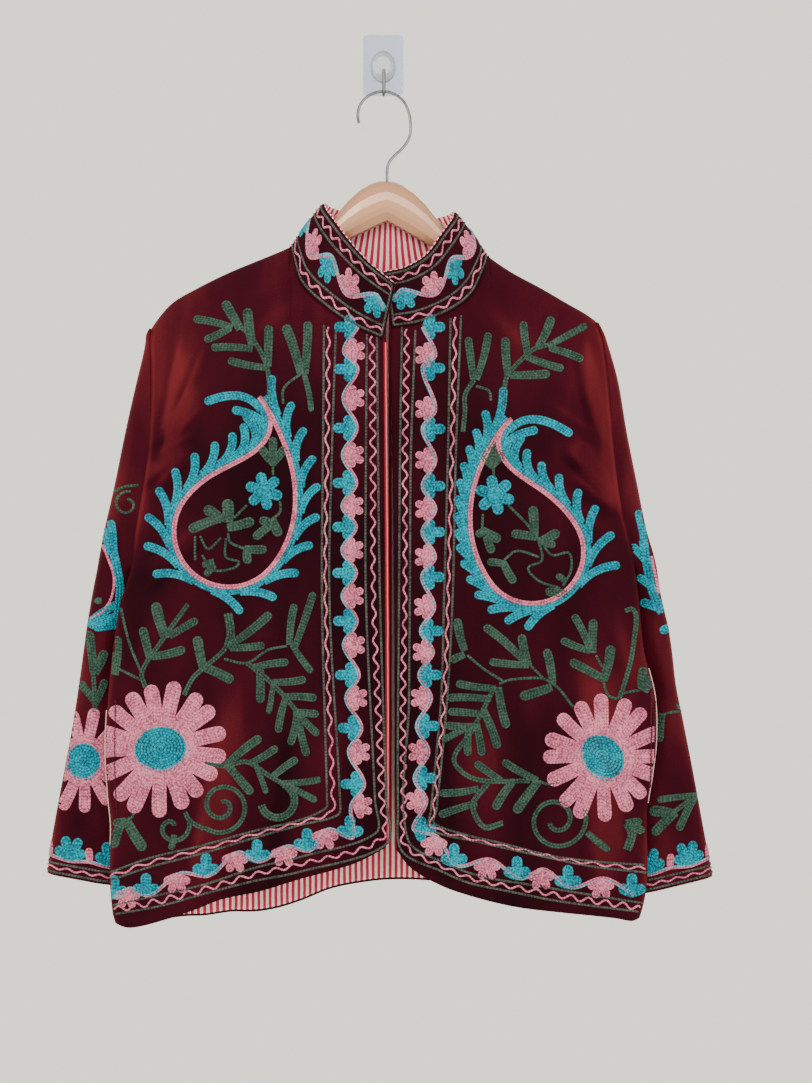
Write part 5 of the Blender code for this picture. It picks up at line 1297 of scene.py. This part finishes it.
# Border rows down the front and along the hem: their kind, then places. A wave has its height and length.
borderPlaces = dict(
    left=dict(
        grey=[
            [(324, 325), (323, 450), (322, 600), (327, 800), (326, 808), (300, 820), (254, 831), (200, 846),
             (150, 858), (111, 872)],
            [(336, 328), (332, 450), (329.5, 600), (340, 800), (338, 814.7), (300, 825), (254, 838),
             (200, 854), (150, 867), (111, 880)],
            [(367, 334), (366, 450), (366, 600), (375, 800), (375.8, 833), (300, 857), (254, 868), (206, 884),
             (150, 897), (113, 905)],
            [(377, 337), (378, 450), (380, 600), (386, 800), (386.3, 844), (299, 872), (254, 881), (207, 893),
             (160, 906), (116, 914)]],
        waves=[
            ([(328.5, 327), (327, 450), (325.5, 600), (333, 800), (332, 812), (300, 822.5), (254, 834.5),
              (200, 850), (150, 862.5), (111, 876)], 1.9, 22),
            ([(372, 336), (373, 450), (373.7, 600), (382, 800), (381, 839), (299, 864.5), (254, 874.5),
              (207, 888.5), (155, 902), (114, 909.5)], 3.0, 17.5)],
        downFlowers=dict(teal=[327, 369, 428, 483, 527, 573, 621, 675, 728, 784],
                         pink=[351, 398, 455, 506, 550, 596, 645, 698, 752, 806]),
        tealX=344.5, pinkX=357.5, lean=[(330, 0), (600, -1.5), (800, 7)],
        hemFlowers=dict(teal=[(350, 826), (307, 839), (257, 850), (206, 864), (146, 884), (114, 886)],
                        pink=[(325, 841), (284, 858), (235, 864), (177, 885), (127, 900)])),
    right=dict(
        grey=[
            [(402, 327), (400, 450), (399, 600), (398, 810), (402, 851), (442, 871.6), (469.5, 883),
             (505, 890.5), (558, 901), (638, 911.6)],
            [(415.4, 330), (411, 450), (409.8, 600), (409, 700), (407.5, 838), (452.6, 866), (484, 877),
             (526, 884), (589.5, 894.7), (642, 903)],
            [(450.5, 318), (448, 450), (444, 600), (441, 700), (431, 810), (430, 829), (474, 841),
             (526, 852.6), (589.5, 866), (646, 872.6)],
            [(461, 315), (456, 450), (452.5, 600), (447, 700), (436.5, 810), (434, 823), (463, 834),
             (505, 844), (547, 855), (589.5, 861), (644, 865)]],
        waves=[
            ([(407, 329), (405, 450), (405, 600), (403, 700), (404, 810), (405, 845), (448, 869), (477, 880),
              (516, 887.5), (574, 898), (640, 907.5)], 2.8, 17.0),
            ([(455.4, 317), (452, 450), (448, 600), (444, 700), (434, 810), (432, 826), (468, 838),
              (516, 848.5), (568, 860), (645, 869)], 1.9, 22)],
        downFlowers=dict(teal=[327, 368, 429, 486, 532, 577, 631, 675, 726, 778, 829],
                         pink=[355, 409, 460, 509, 557, 607, 652, 698, 752, 801]),
        tealX=435, pinkX=423, lean=[(330, 0), (600, -1), (800, -9)],
        hemFlowers=dict(teal=[(454, 854), (517, 867), (568, 876), (632, 884)],
                        pink=[(434, 848), (487, 871), (541, 881), (601, 890)])))


def addBorder(work, side):
    table = borderPlaces[side]
    for places in table["grey"]:
        work.row("grey", places, 2.6)
    for places, height, length in table["waves"]:
        work.waves("pink", places, height, length)
    lean = np.array(table["lean"], float)
    middle = 0.5 * (table["tealX"] + table["pinkX"])
    stops = []
    for colour, centre, lobes in (("teal", table["tealX"], 3), ("pink", table["pinkX"], 4)):
        away = 1.0 if centre > middle else -1.0
        for y in table["downFlowers"][colour]:
            x = centre + float(curveAt(lean, 0, 1, y))
            work.bloom(colour, (x, y), 0.0 if away > 0 else 180.0, 19.0, lobes)
            stops.append((y, x - away * (2.0 * abs(centre - middle) + 0.5)))
    stops = [(x, y) for y, x in sorted(stops)]
    hem = [(x, y, colour) for colour in ("teal", "pink") for x, y in table["hemFlowers"][colour]]
    for x, y, colour in sorted(hem, key=lambda place: outwards[side] * place[0]):
        up = colour == "teal"
        work.bloom(colour, (x, y), -90.0 if up else 90.0, 20.0, 3 if up else 4)
        stops.append((x + 3.0, y + (11.5 if up else -11.5)))
    work.vine(stops)


def addDaisy(work, centre, eye, tilt, petal, first, petals):
    # Petal i stands at first + 360 i / petals degrees, its length varied by a sine. The eye is an oval.
    lean = math.radians(tilt)
    across = np.array((math.cos(lean), math.sin(lean)))
    along = np.array((-math.sin(lean), math.cos(lean)))

    def rim(way, grow):
        a, b = eye[0] + grow, eye[1] + grow
        scale = 1.0 / np.sqrt((way @ across / a) ** 2 + (way @ along / b) ** 2)
        return way * np.asarray(scale)[..., None]

    for index in range(petals):
        angle = math.radians(first + 360.0 * index / petals + 1.8 * math.sin(2.3 * index))
        way = np.array((math.sin(angle), -math.cos(angle)))
        length = petal * (1.0 + 0.045 * math.sin(2 * angle + 0.6) + 0.03 * math.sin(5.0 * index))
        work.finger("pink", np.array(centre) + rim(way, -1.0), np.array(centre) + way * length,
                    petal * 0.235 + 0.5 * math.sin(3.0 * index), 0.03 * math.sin(1.7 * index), 0.82)
    turn = np.linspace(0.0, 2 * math.pi, 60)
    ways = np.stack([np.cos(turn), np.sin(turn)], -1)
    for grow in (1.5, 4.0):
        work.row("pink", np.array(centre) + rim(ways, grow))
    work.oval("teal", centre, eye[0], eye[1], tilt)


def addFlower(work, x, y, radius, petals=6):
    for index in range(petals):
        angle = 2 * math.pi * (index + 0.3) / petals
        way = np.array((math.cos(angle), math.sin(angle)))
        centre = np.array((x, y))
        work.finger("teal", centre + 1.5 * way, centre + radius * way, radius * 0.56, 0.0, 0.6)


def addBud(work, x, y, width, height):
    for lean, share in ((-36, 0.78), (36, 0.78), (0, 1.0)):
        angle = math.radians(lean)
        foot = np.array((x, y + 0.5 * height))
        tip = foot + height * share * np.array((math.sin(angle), -math.cos(angle)))
        work.finger("leaf", foot, tip, width * 0.46, 0.04 * lean / 38, 0.6)


def teardrop(tip, bend, belly, radius, swell):
    # A bent spine from the tip to the belly's middle, drawn round at the distance of a growing circle.
    tip, bend, belly = [np.array(place, float) for place in (tip, bend, belly)]
    t = np.linspace(0.0, 1.0, 40)[:, None]
    spine = (1 - t) ** 2 * tip + 2 * t * (1 - t) * bend + t * t * belly
    half = radius * np.sin(0.5 * math.pi * t) ** swell
    across = pathNormals(spine)
    way = spine[-1] - spine[-2]
    way /= math.hypot(*way)
    turn = np.linspace(0.0, math.pi, 24)[1:-1, None]
    cap = belly + radius * (np.cos(turn) * across[-1] + np.sin(turn) * way)
    return np.concatenate([spine + across * half, cap, (spine - across * half)[::-1]])


def curl(centre, outer, inner, heading, turns):
    # A spiral whose radius shrinks evenly from outer to inner; heading in degrees, turns signed.
    t = np.linspace(0.0, 1.0, 24)
    angle = math.radians(heading) + 2 * math.pi * turns * t
    radius = outer + (inner - outer) * t
    return np.stack([centre[0] + radius * np.cos(angle), centre[1] + radius * np.sin(angle)], -1)


def addPaisley(work, table):
    # A lobe runs along the band first, then curves out to its tip.
    look = paisleyLook
    sizes = [table[name] for name in ("tip", "bend", "belly", "radius")]
    whole = evenPath(teardrop(*sizes, look["swell"]), 1.5)
    sign = 1.0 if np.sum(pathNormals(whole) * (whole - whole.mean(axis=0))) > 0.0 else -1.0
    normals = sign * pathNormals(whole)
    for offset, colour in ((-1.2, "pink"), (1.3, "pink"), (4.0, "teal"), (6.6, "teal")):
        ends = slice(2, -2) if colour == "teal" else slice(None)
        work.row(colour, (whole + offset * normals)[ends])
    for name, order in (("firstLobes", 1), ("secondLobes", -1)):
        path, out = whole[::order], normals[::order]
        lobes = table[name]
        for index in range(lobes["count"]):
            part = index / (lobes["count"] - 1)
            reach = (lobes["reach"] + lobes["extra"] * math.exp(-1.2 * index)
                     - lobes["dip"] * math.sin(math.pi * part))
            nearest = int(len(path) * (look["first"] + (lobes["end"] - look["first"]) * part))
            way = path[nearest + 2] - path[nearest]
            way /= max(math.hypot(*way), 1e-9)
            lean = look["lean"] + look["tipLean"] * math.exp(-index)
            tip = path[nearest] + reach * (out[nearest] * math.cos(lean) - way * math.sin(lean))
            slide = look["slide"] if reach < look["far"] else look["shortSlide"]
            foot = min(nearest + slide, len(path) - 3)
            start = path[foot] + out[foot] * look["start"]
            run = path[foot - 2] - path[foot]
            run /= max(math.hypot(*run), 1e-9)
            length = math.hypot(*(tip - start))
            bulge = start + run * length * look["along"] + out[foot] * 1.5
            way = (tip - bulge) / max(math.hypot(*(tip - bulge)), 1e-9)
            end = tip - way * look["lobeWidth"] / 2
            t = np.linspace(0.0, 1.0, 14)[:, None]
            axis = (1 - t) ** 2 * start + 2 * t * (1 - t) * bulge + t * t * end
            work.fingerAlong("teal", axis, look["lobeWidth"], 0.85)
    addFlower(work, *table["flower"])
    addBud(work, *table["bud"])
    for leaf in table["leaves"]:
        work.finger("leaf", leaf[2:4], leaf[:2], leaf[4], 0.03)
    for width, places in table["stems"]:
        work.stem("leaf", places, width)
    for places in table["lines"]:
        work.row("leaf", places, 2.8)


# Topstitching beside the pocket mouths.
pocketSeams = dict(left=[[(116, 700), (115, 760), (117, 815)]],
                   right=[[(651, 690), (650.5, 745), (649, 800)], [(654.5, 690), (654, 745), (652.5, 800)]])


def sewFront(side, materials):
    work = Sampler()
    for index, (tipX, tipY, footX, footY, width) in enumerate(leafPlaces[side]):
        work.finger("leaf", (footX, footY), (tipX, tipY), width, 0.05 * math.sin(1.9 * index))
    for width, places in stemPlaces[side]:
        work.stem("leaf", places, width)
    for width, shape in curlPlaces[side]:
        work.stem("leaf", curl(*shape), width)
    addPaisley(work, paisleyPlaces[side])
    addDaisy(work, **daisyPlaces[side])
    addBorder(work, side)
    seams = Sampler(1.55)
    for places in pocketSeams[side]:
        seams.row("maroon", places, 1.1)
    ground = onFront(side)
    pieces = work.sew("front" + side.title(), ground, materials)
    return pieces + seams.sew("pocketSeam" + side.title(), ground, materials)


# Sleeves: fingers (tip, foot, width) and lines (width, places) by colour, in picture pixels.
sleevePlaces = dict(
    left=dict(
        leaf=dict(
            fingers=[(94, 601, 101, 601, 7), (88, 631, 93, 670, 9), (105, 650, 96, 671, 10),
                     (79, 682, 93, 700, 8), (105, 679, 96, 702, 8)],
            lines=[(4, [(139, 485), (124, 487), (114, 492), (110, 503), (108, 514)]),
                   (4, curl((127, 504), 13.0, 4.5, -72.0, -1.05)),
                   (5, [(93, 670), (95, 700), (95, 712)])]),
        teal=dict(
            fingers=[(110, 520, 114, 556, 8), (103, 527, 108, 552, 6), (87, 626, 113, 606, 9),
                     (89, 627, 115, 617, 9), (93, 628, 116, 626, 9)],
            lines=[(9, [(113, 550), (117, 568), (120, 586), (119, 604), (117, 622)])]),
        pink=dict(fingers=[], lines=[(3, [(101, 541), (109, 561), (114, 577), (112, 596), (103, 611),
                                          (90, 619)])]),
        daisy=dict(centre=(84, 761), eye=(19, 20.5), tilt=0, petal=52, first=12, petals=13)),
    right=dict(
        leaf=dict(
            fingers=[(660, 742, 662, 716, 8), (679, 701, 682, 711, 8), (657, 801, 694, 796, 7),
                     (679, 831, 695, 797, 8), (649, 811, 673, 814, 11), (653, 835, 674, 814, 10)],
            lines=[(4, [(661, 716), (668, 713), (682, 711)]), (5, [(672, 813), (682, 806), (694, 796)])]),
        teal=dict(
            fingers=[(637, 510, 644, 545, 8), (631, 545, 646, 562, 8), (637, 576, 652, 588, 8),
                     (640, 602, 660, 609, 9), (660, 632, 669, 628, 9)],
            lines=[(9, [(643, 540), (646.5, 562), (652, 590), (662, 613)])]),
        pink=dict(
            fingers=[(691, 756, 700, 756, 8), (695, 775, 703, 773, 8)],
            lines=[(3, [(651.5, 556), (654, 570), (656.8, 583), (658.5, 594)])])))
cuffPattern = dict(grey=(3.5, 13.0), wave=(8.3, 1.3, 17.0), line=19.0, flowers=6, flower=24.0,
                   bud=(13.0, 8.0))


def sewSleeve(side, materials):
    work = Sampler()
    for colour, table in sleevePlaces[side].items():
        if colour == "daisy":
            addDaisy(work, **table)
            continue
        for tipX, tipY, footX, footY, width in table["fingers"]:
            work.finger(colour, (footX, footY), (tipX, tipY), width, 0.03)
        for width, places in table["lines"]:
            work.stem(colour, places, width)
    pieces = work.sew("sleeve" + side.title(), onSleeve(side), materials)
    cuff = Sampler()
    whole = 2 * cuffSpan["width"]
    pattern = cuffPattern
    for up in pattern["grey"]:
        cuff.row("grey", [(0, up), (whole / 2, up), (whole, up)], 2.6)
    up, height, length = pattern["wave"]
    cuff.waves("pink", [(0, up), (whole, up)], height, length)
    count = pattern["flowers"]
    stops = [(0.0, pattern["line"])]
    for index in range(count):
        place = whole * (index + 0.46) / count
        foot = pattern["line"] + 2.5
        cuff.bloom("teal", (place, foot + 0.45 * pattern["flower"]), 90.0, pattern["flower"], 4)
        budPlace = place + whole * 0.5 / count
        cuff.finger("pink", (budPlace, foot), (budPlace + 3.0, foot + pattern["bud"][0]), pattern["bud"][1])
        stops += [(place, pattern["line"] - 1.0), (budPlace, pattern["line"] + 1.5)]
    cuff.vine(stops + [(whole, pattern["line"])])
    return pieces + cuff.sew("cuff" + side.title(), onCuff(side), materials)


# Heights are above the collar's seam, or above the hem on the back.
collarPattern = dict(margin=3.0, grey=(3.5, 13.5, 44.5, 55.0), waves=[(8.5, 2.2, 19), (49.8, 2.2, 19)],
                     line=29.0, flowers=15, flower=20.0, lobes=4, teal=(25.5, -90.0, 37.0),
                     pink=(33.5, 90.0, 21.5))
backPattern = dict(grey=(8.0, 17.0, 48.0, 57.0), waves=[(12.5, 2.6, 18.0), (52.5, 1.5, 30.0)], flowers=24,
                   flower=19.0, lobes=3, teal=(35.0, 90.0, 24.0), pink=(30.0, -90.0, 41.0))


def sewCollar(materials):
    work = Sampler()
    onCollar(np.zeros((1, 2)))
    whole = collarRun["length"][-1]
    table = collarPattern
    start, end = table["margin"], whole - table["margin"]
    for up in table["grey"]:
        work.row("grey", [(start, up), (whole / 2, up), (end, up)], 2.4)
    for up, height, length in table["waves"]:
        work.waves("pink", [(start, up), (whole / 2, up), (end, up)], height, length)
    for place in (start, end):
        work.row("grey", [(place, table["grey"][0]), (place, table["grey"][-1])], 2.4)
    count = table["flowers"]
    feet = [np.array((whole * (index + 0.55) / (count + 0.1), 0.0)) for index in range(count)]
    work.vine([(start + 3.0, table["line"]), *work.garland(feet, table), (end - 3.0, table["line"])])
    return work.sew("collar", onCollar, materials)


def sewBack(materials):
    # The border goes on plainly round the back hem.
    work = Sampler()
    table = backPattern
    line = columnsAt(hemTable["back"], (1, 2), np.linspace(0.015, 0.985, 60))
    for up in table["grey"]:
        work.row("grey", line + (0.0, up), 2.6)
    for up, height, length in table["waves"]:
        work.waves("pink", line + (0.0, up), height, length)
    shares = (np.arange(table["flowers"]) + 0.5) / table["flowers"]
    work.vine(work.garland(columnsAt(hemTable["back"], (1, 2), shares), table))
    return work.sew("back", onBack, materials)


def dressHardware(materials):
    looks = dict(hanger_body="pearl", hanger_hook="steel", wall_prong="steel", wall_plate="clear",
                 wall_boss="lens")
    for node, look in looks.items():
        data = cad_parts[node].data
        data.materials.clear()
        data.materials.append(materials[look])


makeCamera()
makeStudio()
materials = makeMaterials()
dressHardware(materials)
print("stage: camera, studio and materials")
cloth = {}
for side in ("left", "right"):
    cloth["front" + side] = makeFront(side, materials)
cloth["back"] = makeBack(materials)
for side in ("left", "right"):
    cloth["sleeve" + side] = makeSleeve(side, materials)
cloth["collar"], cloth["collarLining"] = makeCollar(materials)
cloth["backLining"], cloth["frontStrip"] = makeLinings(materials)
cloth["pocketleft"], cloth["pocketright"] = makePockets(materials)
print("stage: cloth")
threads = {}
for side in ("left", "right"):
    threads["front" + side] = sewFront(side, materials)
    threads["sleeve" + side] = sewSleeve(side, materials)
threads["collar"] = sewCollar(materials)
threads["back"] = sewBack(materials)
sewn = [piece for group in threads.values() for piece in group]
print("stage: embroidery, faces:", sum(len(piece.data.polygons) for piece in sewn))
